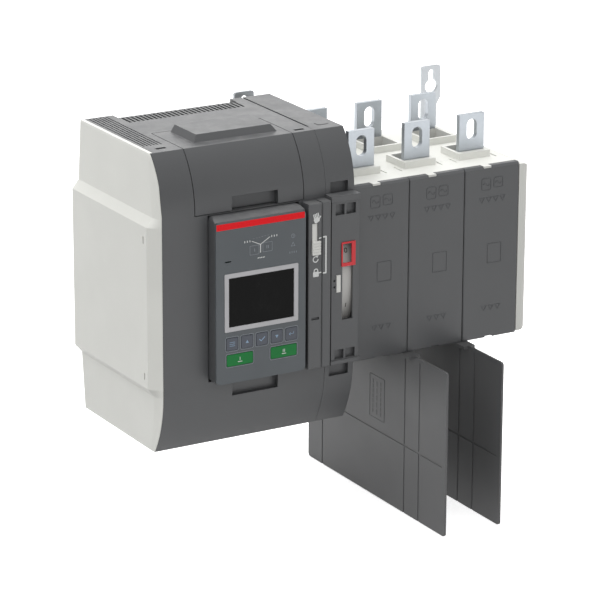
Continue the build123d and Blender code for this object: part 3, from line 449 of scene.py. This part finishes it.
@dataclass(frozen=True)
class Thermoset(Finish):
    """Filled thermoset moulding with a mottled filler and dull skin."""

    def paint(self) -> bpy.types.Material:
        """Build the material."""
        c = Canvas(self.name)
        soft = c.soft_edge(0.0005)
        filler = c.noise(240.0, 4.0, 0.7)
        body = c.blend(filler.span(0.35, 0.7), tint(self.colour, 0.8), tint(self.colour, 1.25))
        # painted highlight: edges lightened toward a brighter tint of the colour
        body = c.blend(c.edge_mask(soft, 2.0) * 0.5, body, tint(self.colour, 1.6))
        return c.finish(
            Base_Color=body,
            Roughness=(0.5 + (filler - 0.5) * 0.25).clamped(),
            Normal=c.bump(filler + c.noise(900.0, 2.0), 0.00003, soft),
        )


@dataclass(frozen=True)
class LitTable(Finish):
    """White acrylic table top, softly lit from below."""

    glow: float = 0.7

    def paint(self) -> bpy.types.Material:
        """Build the material."""
        c = Canvas(self.name)
        haze = c.noise(600.0, 3.0)
        body = c.blend(haze, self.colour, tint(self.colour, 0.985))
        return c.finish(
            Base_Color=body,
            Roughness=0.85,
            Specular_IOR_Level=0.1,
            Emission_Color=(1.0, 1.0, 1.0, 1.0),
            Emission_Strength=self.glow,
        )


@dataclass
class Palette:
    """Every finish of the switch, painted once and then shared."""

    light: Finish = MouldedPlastic("light_shell", (0.670, 0.673, 0.636), 0.5, edge_highlight=1.28, dust=0.05)
    dark: Finish = MouldedPlastic("dark_shell", (0.066, 0.068, 0.071), 0.44)
    smooth: Finish = MouldedPlastic("display_shell", (0.066, 0.068, 0.071), 0.42, edge=0.0016)
    sheet: Finish = MouldedPlastic("barrier_sheet", (0.075, 0.076, 0.078), 0.5, grain=0.00002, edge=0.0003)
    # A darker copy of the dark shell: the raised marks are the cover's own plastic, and the darker colour is
    # painted shade.
    emboss: Finish = MouldedPlastic(
        "embossed_mark", (0.044, 0.046, 0.050), 0.4, grain=0.000005, edge=0.0001, edge_highlight=1.2
    )
    face: Finish = SatinFoil("face_foil", (0.068, 0.078, 0.086))
    key: Finish = SatinFoil("key_foil", (0.052, 0.060, 0.078), 0.4)
    green: Finish = SatinFoil("green_key_foil", (0.006, 0.165, 0.034), 0.4, gloss=0.2)
    pale: Finish = SatinFoil("display_rim", (0.480, 0.475, 0.490), 0.36)
    glass: Finish = DisplayGlass("display_glass", (0.0045, 0.0045, 0.0045))
    white: Finish = MouldedPlastic("white_slider", (0.72, 0.72, 0.69), 0.45, edge_highlight=1.05, edge=0.0003)
    red: Finish = MouldedPlastic("red_frame", (0.62, 0.012, 0.022), 0.38, edge_highlight=1.15, edge=0.0002, dust=0.03)
    grey: Finish = MouldedPlastic("drum_grey", (0.56, 0.55, 0.53), 0.5, edge_highlight=1.1)
    red_ink: Finish = PrintInk("red_ink", (0.86, 0.005, 0.012), 0.42)
    pale_ink: Finish = PrintInk("pale_ink", (0.74, 0.75, 0.74))
    soft_ink: Finish = PrintInk("soft_ink", (0.27, 0.29, 0.32))
    blue_ink: Finish = PrintInk("blue_ink", (0.30, 0.42, 0.56))
    grey_ink: Finish = PrintInk("grey_ink", (0.07, 0.065, 0.06))
    tin: Finish = PlatedMetal("tin_plate", (0.42, 0.45, 0.48), 0.42)
    copper: Finish = PlatedMetal("bare_copper", (0.75, 0.36, 0.22), 0.3, tarnish=(0.35, 0.16, 0.10))
    zinc: Finish = PlatedMetal("zinc_plate", (0.50, 0.52, 0.54), 0.55, (30.0, 30.0, 30.0), 0.16)
    steel: Finish = PlatedMetal("machined_steel", (0.42, 0.42, 0.43), 0.32, (20.0, 700.0, 700.0), 0.04)
    black: Finish = PlatedMetal("black_oxide", (0.05, 0.05, 0.055), 0.45, tarnish=(0.09, 0.07, 0.06))
    board: Finish = BoardMask("circuit_board", (0.012, 0.085, 0.035))
    thermoset: Finish = Thermoset("brown_thermoset", (0.16, 0.07, 0.045))
    table: Finish = LitTable("studio_table", (0.90, 0.90, 0.90))
    _made: dict[str, bpy.types.Material] = field(default_factory=dict)

    def get(self, finish: Finish) -> bpy.types.Material:
        """The painted material of a finish."""
        if finish.name not in self._made:
            self._made[finish.name] = finish.paint()
        return self._made[finish.name]

    def coat(self, obj: bpy.types.Object, finish: Finish) -> None:
        """Put a finish on an object's material slots."""
        if not obj.material_slots:
            obj.data.materials.append(None)
        for slot in obj.material_slots:
            slot.material = self.get(finish)

    def dress(self, finish: Finish, *nodes: str) -> None:
        """Put a finish on CAD nodes and report each."""
        for name in nodes:
            self.coat(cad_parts[name], finish)
            log.info("dressed %s in %s", name, finish.name)


# --------------------------------------------------------------- modelling
class Facing(Enum):
    """Which way a marked surface looks: across, up and outward directions."""

    FRONT = ((1, 0, 0), (0, 0, 1), (0, -1, 0))
    LEFT = ((0, -1, 0), (0, 0, 1), (-1, 0, 0))
    TOP = ((1, 0, 0), (0, 1, 0), (0, 0, 1))


def clear_selection() -> None:
    """Leave edit mode and deselect everything."""
    if bpy.context.object is not None and bpy.context.object.mode != "OBJECT":
        bpy.ops.object.mode_set(mode="OBJECT")
    bpy.ops.object.select_all(action="DESELECT")


@dataclass
class Relief:
    """Thin raised shapes on one flat surface, joined into one piece.

    Sizes are in millimetres, across and up the surface.
    """

    name: str
    facing: Facing
    origin: tuple[float, float, float]
    height: float = 0.08
    sunk: float = 0.05
    soften: float = 0.0
    tilt: float = 0.0
    parts: list[bpy.types.Object] = field(default_factory=list)

    def _raise(self, corner: float, segments: int) -> None:
        """Round the corners of the new flat face and pull it up into a plate."""
        bpy.ops.object.transform_apply(location=True, rotation=True, scale=True)
        obj = bpy.context.object
        bpy.ops.object.mode_set(mode="EDIT")
        bpy.ops.mesh.select_all(action="SELECT")
        if corner > 0:
            bpy.ops.mesh.bevel(offset=corner * MM, segments=segments, affect="VERTICES")
        self._pull(obj)

    def _pull(self, obj: bpy.types.Object) -> None:
        """Extrude the selected flat faces to the relief's height and close the piece."""
        lift = (self.height + self.sunk) * MM
        bpy.ops.mesh.extrude_region_move(TRANSFORM_OT_translate={"value": (0, 0, lift)})
        if self.soften > 0:
            bpy.ops.mesh.region_to_loop()
            bpy.ops.mesh.bevel(offset=self.soften * MM, segments=2, affect="EDGES")
        bpy.ops.mesh.select_all(action="SELECT")
        bpy.ops.mesh.normals_make_consistent(inside=False)
        bpy.ops.object.mode_set(mode="OBJECT")
        self.parts.append(obj)

    def panel(
        self, u: float, v: float, width: float, tall: float, corner: float = 0.4, turn: float = 0.0
    ) -> None:
        """Add a plate with rounded corners.

        Args:
            u: Middle across.
            v: Middle up.
            width: Size across.
            tall: Size up.
            corner: Corner radius.
            turn: Turn in the surface, in degrees.
        """
        clear_selection()
        bpy.ops.mesh.primitive_plane_add(
            size=1.0,
            location=(u * MM, v * MM, -self.sunk * MM),
            rotation=(0.0, 0.0, math.radians(turn)),
        )
        bpy.context.object.scale = (width * MM, tall * MM, 1.0)
        self._raise(min(corner, 0.48 * min(width, tall)), 4)

    def stroke(self, start: Point, end: Point, width: float) -> None:
        """Add a round-ended line between two points."""
        du, dv = end[0] - start[0], end[1] - start[1]
        middle = ((start[0] + end[0]) / 2, (start[1] + end[1]) / 2)
        turn = math.degrees(math.atan2(dv, du))
        self.panel(*middle, math.hypot(du, dv) + width, width, width / 2, turn)

    def path(self, points: Sequence[Point], width: float) -> None:
        """Add lines through several points."""
        for start, end in zip(points, points[1:]):
            self.stroke(start, end, width)

    def arc(
        self, u: float, v: float, radius: float, start: float, end: float, width: float, steps: int = 8
    ) -> None:
        """Add a curved line between two angles, in degrees."""
        angles = [math.radians(start + (end - start) * i / steps) for i in range(steps + 1)]
        self.path([(u + radius * math.cos(a), v + radius * math.sin(a)) for a in angles], width)

    def frame(self, u: float, v: float, width: float, tall: float, line: float, corner: float = 0.8) -> None:
        """Add the outline of a plate.

        Args:
            u: Middle across.
            v: Middle up.
            width: Outer size across.
            tall: Outer size up.
            line: Width of the outline.
            corner: Outer corner radius.
        """
        clear_selection()
        bpy.ops.mesh.primitive_plane_add(size=1.0, location=(u * MM, v * MM, -self.sunk * MM))
        bpy.context.object.scale = (width * MM, tall * MM, 1.0)
        bpy.ops.object.transform_apply(location=True, rotation=True, scale=True)
        bpy.ops.object.mode_set(mode="EDIT")
        bpy.ops.mesh.select_all(action="SELECT")
        bpy.ops.mesh.bevel(offset=corner * MM, segments=4, affect="VERTICES")
        self._hollow(line)

    def ring(
        self, u: float, v: float, radius: float, line: float, corners: int = 32, turn: float = 0.0
    ) -> None:
        """Add a ring, or with few corners a polygon's outline."""
        clear_selection()
        bpy.ops.mesh.primitive_circle_add(
            vertices=corners,
            radius=radius * MM,
            fill_type="NGON",
            location=(u * MM, v * MM, -self.sunk * MM),
            rotation=(0.0, 0.0, math.radians(turn)),
        )
        bpy.ops.object.transform_apply(location=True, rotation=True, scale=True)
        bpy.ops.object.mode_set(mode="EDIT")
        bpy.ops.mesh.select_all(action="SELECT")
        self._hollow(line)

    def disc(self, u: float, v: float, radius: float, corners: int = 24, turn: float = 0.0) -> None:
        """Add a filled disc, or with few corners a filled polygon."""
        clear_selection()
        bpy.ops.mesh.primitive_circle_add(
            vertices=corners,
            radius=radius * MM,
            fill_type="NGON",
            location=(u * MM, v * MM, -self.sunk * MM),
            rotation=(0.0, 0.0, math.radians(turn)),
        )
        self._raise(0.0, 1)

    def _hollow(self, line: float) -> None:
        """Inset the selected face, drop its middle and pull up what is left."""
        obj = bpy.context.object
        bpy.ops.mesh.inset(thickness=line * MM, depth=0.0)
        bpy.ops.mesh.delete(type="FACE")
        bpy.ops.mesh.select_all(action="SELECT")
        self._pull(obj)

    def arrows(self, u: float, v: float, pitch: float, count: int, radius: float, line: float) -> None:
        """Add a row of hollow arrowheads that point down, the way the supply runs."""
        for i in range(count):
            self.ring(u + pitch * (i - (count - 1) / 2), v, radius, line, 3, 180.0)

    def wave(self, u: float, v: float, width: float, swing: float, line: float) -> None:
        """Add one period of a sine curve, the sign of alternating current."""
        turns = [i / 10 for i in range(11)]
        self.path([(u + width * (t - 0.5), v + swing * math.sin(math.tau * t)) for t in turns], line)

    def fix(self, palette: Palette, finish: Finish, body: str) -> bpy.types.Object:
        """Join the shapes, put them in place and let them ride.

        Args:
            palette: The finishes.
            finish: Finish of the piece.
            body: CAD body that it rides on.

        Returns:
            The finished piece.
        """
        clear_selection()
        for part in self.parts:
            part.select_set(True)
        bpy.context.view_layer.objects.active = self.parts[0]
        if len(self.parts) > 1:
            bpy.ops.object.join()
            bpy.ops.object.mode_set(mode="EDIT")
            bpy.ops.mesh.select_all(action="SELECT")
            bpy.ops.mesh.intersect_boolean(operation="UNION", use_self=True, solver="EXACT")
            bpy.ops.object.mode_set(mode="OBJECT")
        piece = bpy.context.object
        piece.name = self.name
        piece.data.name = self.name
        across, up, out = (Vector(axis) for axis in self.facing.value)
        turn = Matrix((across, up, out)).transposed()
        lean = Matrix.Rotation(math.radians(self.tilt), 3, across)
        piece.matrix_world = Matrix.Translation(Vector(self.origin) * MM) @ (lean @ turn).to_4x4()
        bpy.ops.object.transform_apply(location=True, rotation=True, scale=True)
        palette.coat(piece, finish)
        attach(piece, body)
        log.info("made %s on %s, %d faces", self.name, body, len(piece.data.polygons))
        return piece


# ------------------------------------------------------------ sub-assemblies
@dataclass
class Assembly:
    """A group of pieces that is built and dressed together."""

    palette: Palette

    def build(self) -> None:
        """Make and dress the pieces. Each assembly has its own."""
        raise NotImplementedError


@dataclass
class MechanismBox(Assembly):
    """The box on the left with its covers, flap and back plate."""

    mark_middle: Point = (-103.0, -144.0)
    mark_size: Point = (11.5, 8.0)

    def build(self) -> None:
        """Dress the shells and add the date-wheel panel on the narrow cover."""
        p = self.palette
        p.dress(p.light, "side_cover", "end_plate")
        p.dress(p.dark, "front_cover", "connector_flap", "gearbox_cover", "back_plate", "hmi_dock")
        p.dress(p.dark, "connector_block")
        p.dress(p.black, "back_plate_screws")
        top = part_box("gearbox_cover")[1].z / MM
        mark = Relief("cover_top_panel", Facing.TOP, (0, 0, top), height=0.35, sunk=0.1, soften=0.15)
        mark.panel(*self.mark_middle, *self.mark_size, 1.2)
        mark.fix(p, p.dark, "switch_frame")


@dataclass
class DisplayUnit(Assembly):
    """Detachable display with its printed face and seven keys."""

    band: tuple[float, float, float, float] = (-239.4, -149.6, 69.4, 75.2)
    mimic_middle: Point = (-194.9, 51.3)
    status_across: float = -161.5
    key_outline: float = 0.45
    line: float = 0.55

    def build(self) -> None:
        """Dress the unit and add everything printed on it."""
        p = self.palette
        p.dress(p.smooth, "hmi_housing")
        p.dress(p.face, "hmi_face")
        p.dress(p.pale, "display_frame")
        p.dress(p.glass, "display_screen")
        p.dress(p.board, "hmi_board")
        p.dress(p.key, *SMALL_KEYS)
        p.dress(p.green, "source_one_key", "source_two_key")
        self.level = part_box("hmi_face")[0].y / MM
        self._band()
        self._mimic()
        self._status()
        self._outlines()
        self._key_signs()

    def _band(self) -> None:
        """Plain red band across the top of the face."""
        left, right, low, high = self.band
        band = Relief("red_band", Facing.FRONT, (0, self.level, 0), height=0.1)
        band.panel((left + right) / 2, (low + high) / 2, right - left, high - low, 0.5)
        band.fix(self.palette, self.palette.red_ink, "display_unit")

    def _mimic(self) -> None:
        """Line diagram of two supplies, the switch and the load."""
        u, v = self.mimic_middle
        lines = Relief("mimic_lines", Facing.FRONT, (0, self.level, 0))
        lines.path([(u - 8.6, v + 4.0), (u, v), (u + 9.4, v + 5.6)], 0.6)
        lines.stroke((u, v), (u, v - 7.2), 0.9)
        for offset, lift in ((-13.4, 4.3), (14.0, 6.0)):
            for i in range(3):
                across = u + offset - 2.6 + 2.6 * i
                lines.stroke((across, v + lift - 0.6), (across, v + lift + 0.6), 0.75)
        for i in range(3):
            lines.stroke((u - 2.6 + 2.6 * i, v - 12.4), (u - 1.2 + 2.6 * i, v - 12.1), 0.8)
        lines.fix(self.palette, self.palette.pale_ink, "display_unit")
        boxes = Relief("mimic_boxes", Facing.FRONT, (0, self.level, 0))
        boxes.frame(u - 6.2, v - 4.4, 9.4, 8.6, 0.35, 0.5)
        boxes.frame(u + 7.2, v - 3.2, 9.8, 8.8, 0.35, 0.5)
        boxes.stroke((u - 6.0, v - 5.6), (u - 6.0, v - 3.2), 0.6)
        for side in (-0.8, 0.8):
            boxes.stroke((u + 7.2 + side, v - 4.4), (u + 7.2 + side, v - 2.0), 0.6)
        for i in range(6):
            start = (u - 7.4 + 2.9 * i, v + 6.2 + 0.25 * i)
            end = (u - 6.2 + 2.9 * i, v + 6.3 + 0.25 * i)
            boxes.stroke(start, end, 0.3)
        boxes.fix(self.palette, self.palette.soft_ink, "display_unit")

    def _status(self) -> None:
        """Ring, warning triangle and a row of dots beside the diagram."""
        u = self.status_across
        signs = Relief("status_signs", Facing.FRONT, (0, self.level, 0))
        signs.ring(u, 54.3, 2.0, 0.4)
        signs.ring(u, 46.1, 2.6, 0.4, 3, 0.0)
        signs.stroke((u, 53.6), (u, 55.2), 0.4)
        for i in range(4):
            signs.stroke((u - 3.3 + 2.2 * i, 38.6), (u - 3.3 + 2.2 * i, 39.8), 0.7)
        signs.fix(self.palette, self.palette.soft_ink, "display_unit")

    def _outlines(self) -> None:
        """Thin outlines printed round the keys."""
        outlines = Relief("key_outlines", Facing.FRONT, (0, self.level, 0))
        for name in (*SMALL_KEYS, "source_one_key", "source_two_key"):
            low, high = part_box(name)
            middle = (low + high) / 2 / MM
            size = (high - low) / MM
            outlines.frame(middle.x, middle.z, size.x + 0.7, size.z + 0.7, self.key_outline, 2.0)
        outlines.fix(self.palette, self.palette.soft_ink, "display_unit")

    def _key_signs(self) -> None:
        """One sign on each key, on the key's own cap."""
        draw = {
            "menu_key": self._draw_menu,
            "up_key": self._draw_up,
            "confirm_key": self._draw_tick,
            "down_key": self._draw_down,
            "return_key": self._draw_return,
            "source_one_key": self._draw_source,
            "source_two_key": self._draw_source,
        }
        for name, make in draw.items():
            low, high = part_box(name)
            middle = (low + high) / 2 / MM
            sign = Relief(f"{name}_sign", Facing.FRONT, (0, low.y / MM, 0), height=0.06)
            make(sign, middle.x, middle.z, 2 if name == "source_two_key" else 1)
            green = name.startswith("source")
            ink = self.palette.pale_ink if green else self.palette.blue_ink
            sign.fix(self.palette, ink, name)

    def _draw_menu(self, sign: Relief, u: float, v: float, count: int) -> None:
        """Three level lines."""
        for i in (-1, 0, 1):
            sign.stroke((u - 2.6, v + 1.7 * i), (u + 2.6, v + 1.7 * i), 0.45)

    def _draw_up(self, sign: Relief, u: float, v: float, count: int) -> None:
        """Upward arrowhead."""
        sign.disc(u, v - 0.3, 1.9, 3, 0.0)

    def _draw_down(self, sign: Relief, u: float, v: float, count: int) -> None:
        """Downward arrowhead."""
        sign.disc(u, v + 0.3, 1.9, 3, 180.0)

    def _draw_tick(self, sign: Relief, u: float, v: float, count: int) -> None:
        """Tick."""
        sign.path([(u - 2.6, v - 0.1), (u - 0.9, v - 1.6), (u + 2.6, v + 1.6)], 0.8)

    def _draw_return(self, sign: Relief, u: float, v: float, count: int) -> None:
        """Bent return arrow."""
        sign.path([(u - 2.4, v), (u + 1.6, v), (u + 2.2, v + 0.7), (u + 2.2, v + 1.9)], 0.4)
        sign.path([(u - 1.2, v + 1.1), (u - 2.4, v), (u - 1.2, v - 1.1)], 0.4)

    def _draw_source(self, sign: Relief, u: float, v: float, count: int) -> None:
        """Position numeral over a short bar."""
        for i in range(count):
            across = u + 1.5 * (i - (count - 1) / 2)
            sign.stroke((across, v - 0.4), (across, v + 2.0), 0.6)
        sign.stroke((u - 1.9, v - 2.0), (u + 1.9, v - 2.0), 0.7)


@dataclass
class ControlColumn(Assembly):
    """Mode selector strip, slider and padlock latch."""

    hand: Point = (-137.4, 66.8)
    lock: Point = (-137.6, 16.2)
    bracket: tuple[float, float, float] = (-126.9, 14.4, 48.3)

    def build(self) -> None:
        """Dress the column and add its printed signs."""
        p = self.palette
        p.dress(p.dark, "selector_strip", "padlock_latch")
        p.dress(p.white, "mode_slider")
        self._strip_signs()
        self._latch_bracket()

    def _strip_signs(self) -> None:
        """Hand, automatic and padlock signs on the strip."""
        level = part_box("selector_strip")[0].y / MM
        signs = Relief("selector_signs", Facing.FRONT, (0, level, 0))
        u, v = self.hand
        signs.panel(u + 0.4, v - 1.6, 5.6, 4.8, 1.5, 28.0)
        for i in range(4):
            foot = (u - 2.0 + 1.5 * i, v + 0.2 + 0.5 * i)
            signs.stroke(foot, (foot[0] - 0.8, foot[1] + 3.3 - 0.1 * i), 1.05)
        signs.stroke((u + 2.8, v - 0.6), (u + 4.4, v + 1.5), 1.1)
        signs.arc(-138.0, 28.6, 2.6, 70.0, 350.0, 1.0, 10)
        signs.disc(-136.4, 31.2, 1.7, 3, 60.0)
        u, v = self.lock
        signs.panel(u, v - 1.7, 6.0, 4.8, 0.7)
        signs.arc(u, v + 1.4, 1.9, 0.0, 180.0, 1.0, 7)
        for side in (-1.9, 1.9):
            signs.stroke((u + side, v), (u + side, v + 1.4), 1.0)
        for height in (47.9, 15.5):
            signs.stroke((-134.0, height), (-132.6, height + 0.2), 1.2)
        signs.fix(self.palette, self.palette.pale_ink, "switch_frame")

    def _latch_bracket(self) -> None:
        """Bracket line down the latch."""
        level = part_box("padlock_latch")[0].y / MM
        across, low, high = self.bracket
        line = Relief("latch_bracket", Facing.FRONT, (0, level, 0))
        line.path([(across - 2.4, low), (across, low), (across, high), (across - 2.4, high)], 1.5)
        line.fix(self.palette, self.palette.pale_ink, "padlock_latch")


@dataclass
class IndicatorModule(Assembly):
    """Position window, its red frame and the drum's marks."""

    shaft: Point = (-98.65, 2.0)
    radius: float = 90.3
    reading_turn: float = 17.4
    step: float = 33.35
    across: float = -100.6

    def build(self) -> None:
        """Dress the module and put the three marks on the drum's rim."""
        p = self.palette
        p.dress(p.dark, "handle_housing")
        p.dress(p.red, "indicator_bezel")
        p.dress(p.white, "tell_tale_bar")
        p.dress(p.grey, "indicator_drum")
        for index, name in enumerate(("rim_mark_one", "rim_mark_off", "rim_mark_two")):
            turn = self.reading_turn + self.step * (index - 1)
            rise = math.radians(turn)
            y = self.shaft[0] - self.radius * math.cos(rise)
            z = self.shaft[1] + self.radius * math.sin(rise)
            mark = Relief(name, Facing.FRONT, (0, y, z), height=0.05, tilt=-turn)
            if index == 1:
                mark.frame(self.across, 0.0, 3.2, 4.6, 0.8, 1.5)
            else:
                for i in range(1 if index == 0 else 2):
                    offset = 0.0 if index == 0 else 1.8 * (i - 0.5)
                    mark.stroke((self.across + offset, -1.9), (self.across + offset, 1.9), 0.8)
            mark.fix(p, p.grey_ink, "transfer_rotor")


@dataclass
class PoleBank(Assembly):
    """Three poles with their covers, terminals and contacts."""

    line: float = 0.7

    def build(self) -> None:
        """Dress the poles and emboss the covers."""
        p = self.palette
        for pole in POLES:
            p.dress(p.light, f"pole_{pole}_housing")
            p.dress(p.dark, f"pole_{pole}_cover")
            p.dress(p.tin, *[f"{end}_terminal_{pole}" for end in ("front", "rear", "load")])
            p.dress(p.copper, f"contact_blade_{pole}")
            p.dress(p.thermoset, f"contact_rotor_{pole}")
            self._emboss(pole)

    def _emboss(self, pole: str) -> None:
        """Raised supply pictogram, arrow rows and the outlined field of one cover."""
        low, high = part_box(f"pole_{pole}_cover")
        u = (low.x + high.x) / 2 / MM
        marks = Relief(f"pole_{pole}_marks", Facing.FRONT, (0, low.y / MM, 0), 0.3, 0.15, 0.1)
        marks.frame(u - 6.4, 68.2, 10.6, 12.0, self.line, 2.4)
        marks.frame(u + 6.8, 68.8, 10.6, 10.4, self.line, 2.4)
        marks.wave(u - 6.4, 68.2, 6.4, 1.7, self.line)
        marks.wave(u + 6.8, 68.8, 6.4, 1.5, self.line)
        marks.arrows(u + 0.5, 53.8, 7.6, 4, 3.7, 0.7)
        marks.frame(u + 3.7, 0.9, 15.4, 19.2, 0.5, 0.6)
        marks.arrows(u + 1.2, -51.6, 7.6, 3, 3.6, 0.7)
        marks.fix(self.palette, self.palette.emboss, "switch_frame")


@dataclass
class Barriers(Assembly):
    """Two insulating sheets below the poles and the label on the left one."""

    label: tuple[float, float, float, float] = (115.0, 142.0, -163.5, -120.5)

    def build(self) -> None:
        """Dress the sheets and emboss the label."""
        p = self.palette
        p.dress(p.sheet, "left_phase_barrier", "right_phase_barrier")
        sheet = min(v.co.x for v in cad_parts["left_phase_barrier"].data.vertices if v.co.z < -0.1) / MM
        left, right, bottom, top = self.label
        mark = Relief("barrier_label", Facing.LEFT, (sheet, 0, 0), 0.3, 0.12, 0.1)
        mark.frame((left + right) / 2, (bottom + top) / 2, right - left, top - bottom, 0.7, 1.0)
        for u, segments in ((left + 6.0, 7), (left + 13.0, 5), (left + 20.0, 7)):
            pitch = (top - bottom - 8.0) / segments
            for i in range(segments):
                start = bottom + 5.0 + pitch * i
                mark.stroke((u, start), (u, start + pitch * 0.55), 1.3)
        mark.fix(p, p.emboss, "switch_frame")


@dataclass
class Workings(Assembly):
    """Rails, drive and electronics, seen from behind or when parts are open."""

    def build(self) -> None:
        """Dress the metalwork and boards."""
        p = self.palette
        p.dress(p.zinc, "left_mounting_rail", "right_mounting_rail", "rail_screws", "drive_frame")
        p.dress(p.steel, "transfer_shaft", "shaft_gear", "motor_pinion", "drive_motor")
        p.dress(p.board, "controller_board")


# -------------------------------------------------------------------- studio
@dataclass(frozen=True)
class SoftBox:
    """One soft light, aimed at a point."""

    name: str
    place: tuple[float, float, float]
    aim: tuple[float, float, float]
    size: tuple[float, float]
    watts: float

    def hang(self) -> None:
        """Put the light in the scene."""
        lamp = bpy.data.lights.new(self.name, "AREA")
        lamp.shape = "RECTANGLE"
        lamp.size, lamp.size_y = self.size
        lamp.energy = self.watts
        holder = bpy.data.objects.new(self.name, lamp)
        bpy.context.scene.collection.objects.link(holder)
        holder.location = self.place
        holder.rotation_euler = (Vector(self.aim) - Vector(self.place)).to_track_quat("-Z", "Y").to_euler()
        log.info("hung %s", self.name)


@dataclass
class Studio:
    """Pale floor, soft light and the camera."""

    palette: Palette
    eye: tuple[float, float, float] = (-1.5858, -2.6595, 0.9081)
    azimuth: float = 30.14
    elevation: float = 17.65
    roll: float = 0.21
    lens: float = 200.03
    shift: Point = (0.0013, -0.0147)
    ambient: Point = (0.34, 0.90)
    boxes: tuple[SoftBox, ...] = (
        SoftBox("left_box", (-1.9, -0.2, 1.9), (-0.25, -0.1, 0.0), (1.2, 1.2), 17.0),
        SoftBox("top_box", (0.2, 0.4, 2.6), (-0.1, -0.1, 0.0), (1.6, 1.6), 34.0),
        SoftBox("back_box", (0.6, 2.8, 1.0), (-0.1, -0.1, 0.1), (2.4, 1.2), 16.0),
        SoftBox("front_box", (-0.9, -3.2, 1.2), (-0.1, -0.1, 0.0), (2.4, 1.6), 9.0),
    )

    def build(self) -> None:
        """Lay the floor, hang the lights and set up the camera."""
        self._floor()
        self._sky()
        for box in self.boxes:
            box.hang()
        self._camera()

    def _floor(self) -> None:
        """A wide pale table top that throws no light back up at the switch."""
        clear_selection()
        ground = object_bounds()[0].z - 0.001
        bpy.ops.mesh.primitive_plane_add(size=30.0, location=(0.0, 0.0, ground))
        floor = bpy.context.object
        floor.name = "studio_floor"
        bpy.ops.object.transform_apply(location=True, rotation=True, scale=True)
        floor.visible_diffuse = False
        self.palette.coat(floor, self.palette.table)
        floor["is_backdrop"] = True

    def _sky(self) -> None:
        """Pale light from all round, stronger from above than from below."""
        world = bpy.data.worlds.new("soft_room")
        bpy.context.scene.world = world
        world.use_nodes = True
        canvas = Canvas.of_world(world)
        tree = canvas.tree
        sky = tree.nodes["Background"]
        sky.inputs["Color"].default_value = (1.0, 1.0, 1.0, 1.0)
        heading = canvas.node("ShaderNodeTexCoord")
        height = canvas.node("ShaderNodeSeparateXYZ")
        # Heights of the view direction between which the light grows, then its strengths.
        spans = dict(zip((1, 2, 3, 4), (-0.5, 0.6, *self.ambient)))
        fade = canvas.node("ShaderNodeMapRange", {"interpolation_type": "SMOOTHSTEP"}, spans)
        tree.links.new(heading.outputs["Generated"], height.inputs["Vector"])
        tree.links.new(height.outputs["Z"], fade.inputs[0])
        tree.links.new(fade.outputs[0], sky.inputs["Strength"])
        bpy.context.scene.view_settings.view_transform = "Standard"

    def _camera(self) -> None:
        """The camera at its distance, with no depth of field."""
        lens = bpy.data.cameras.new("studio_camera")
        camera = bpy.data.objects.new("studio_camera", lens)
        bpy.context.scene.collection.objects.link(camera)
        turn, drop = math.radians(self.azimuth), math.radians(self.elevation)
        ahead = Vector((math.sin(turn) * math.cos(drop), math.cos(turn) * math.cos(drop), -math.sin(drop)))
        level = ahead.to_track_quat("-Z", "Y")
        camera.location = self.eye
        camera.rotation_mode = "QUATERNION"
        camera.rotation_quaternion = level @ Matrix.Rotation(math.radians(self.roll), 4, "Z").to_quaternion()
        lens.lens = self.lens
        lens.sensor_width = 36.0
        lens.shift_x, lens.shift_y = self.shift
        lens.clip_start, lens.clip_end = 0.1, 60.0
        bpy.context.scene.camera = camera


def main() -> None:
    """Build everything in order."""
    logging.basicConfig(level=logging.INFO, format="%(name)s: %(message)s")
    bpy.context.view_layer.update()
    palette = Palette()
    Studio(palette).build()
    for assembly in (MechanismBox, DisplayUnit, ControlColumn, IndicatorModule, PoleBank, Barriers, Workings):
        assembly(palette).build()
        log.info("finished %s", assembly.__name__)


if __name__ == "__main__":
    main()
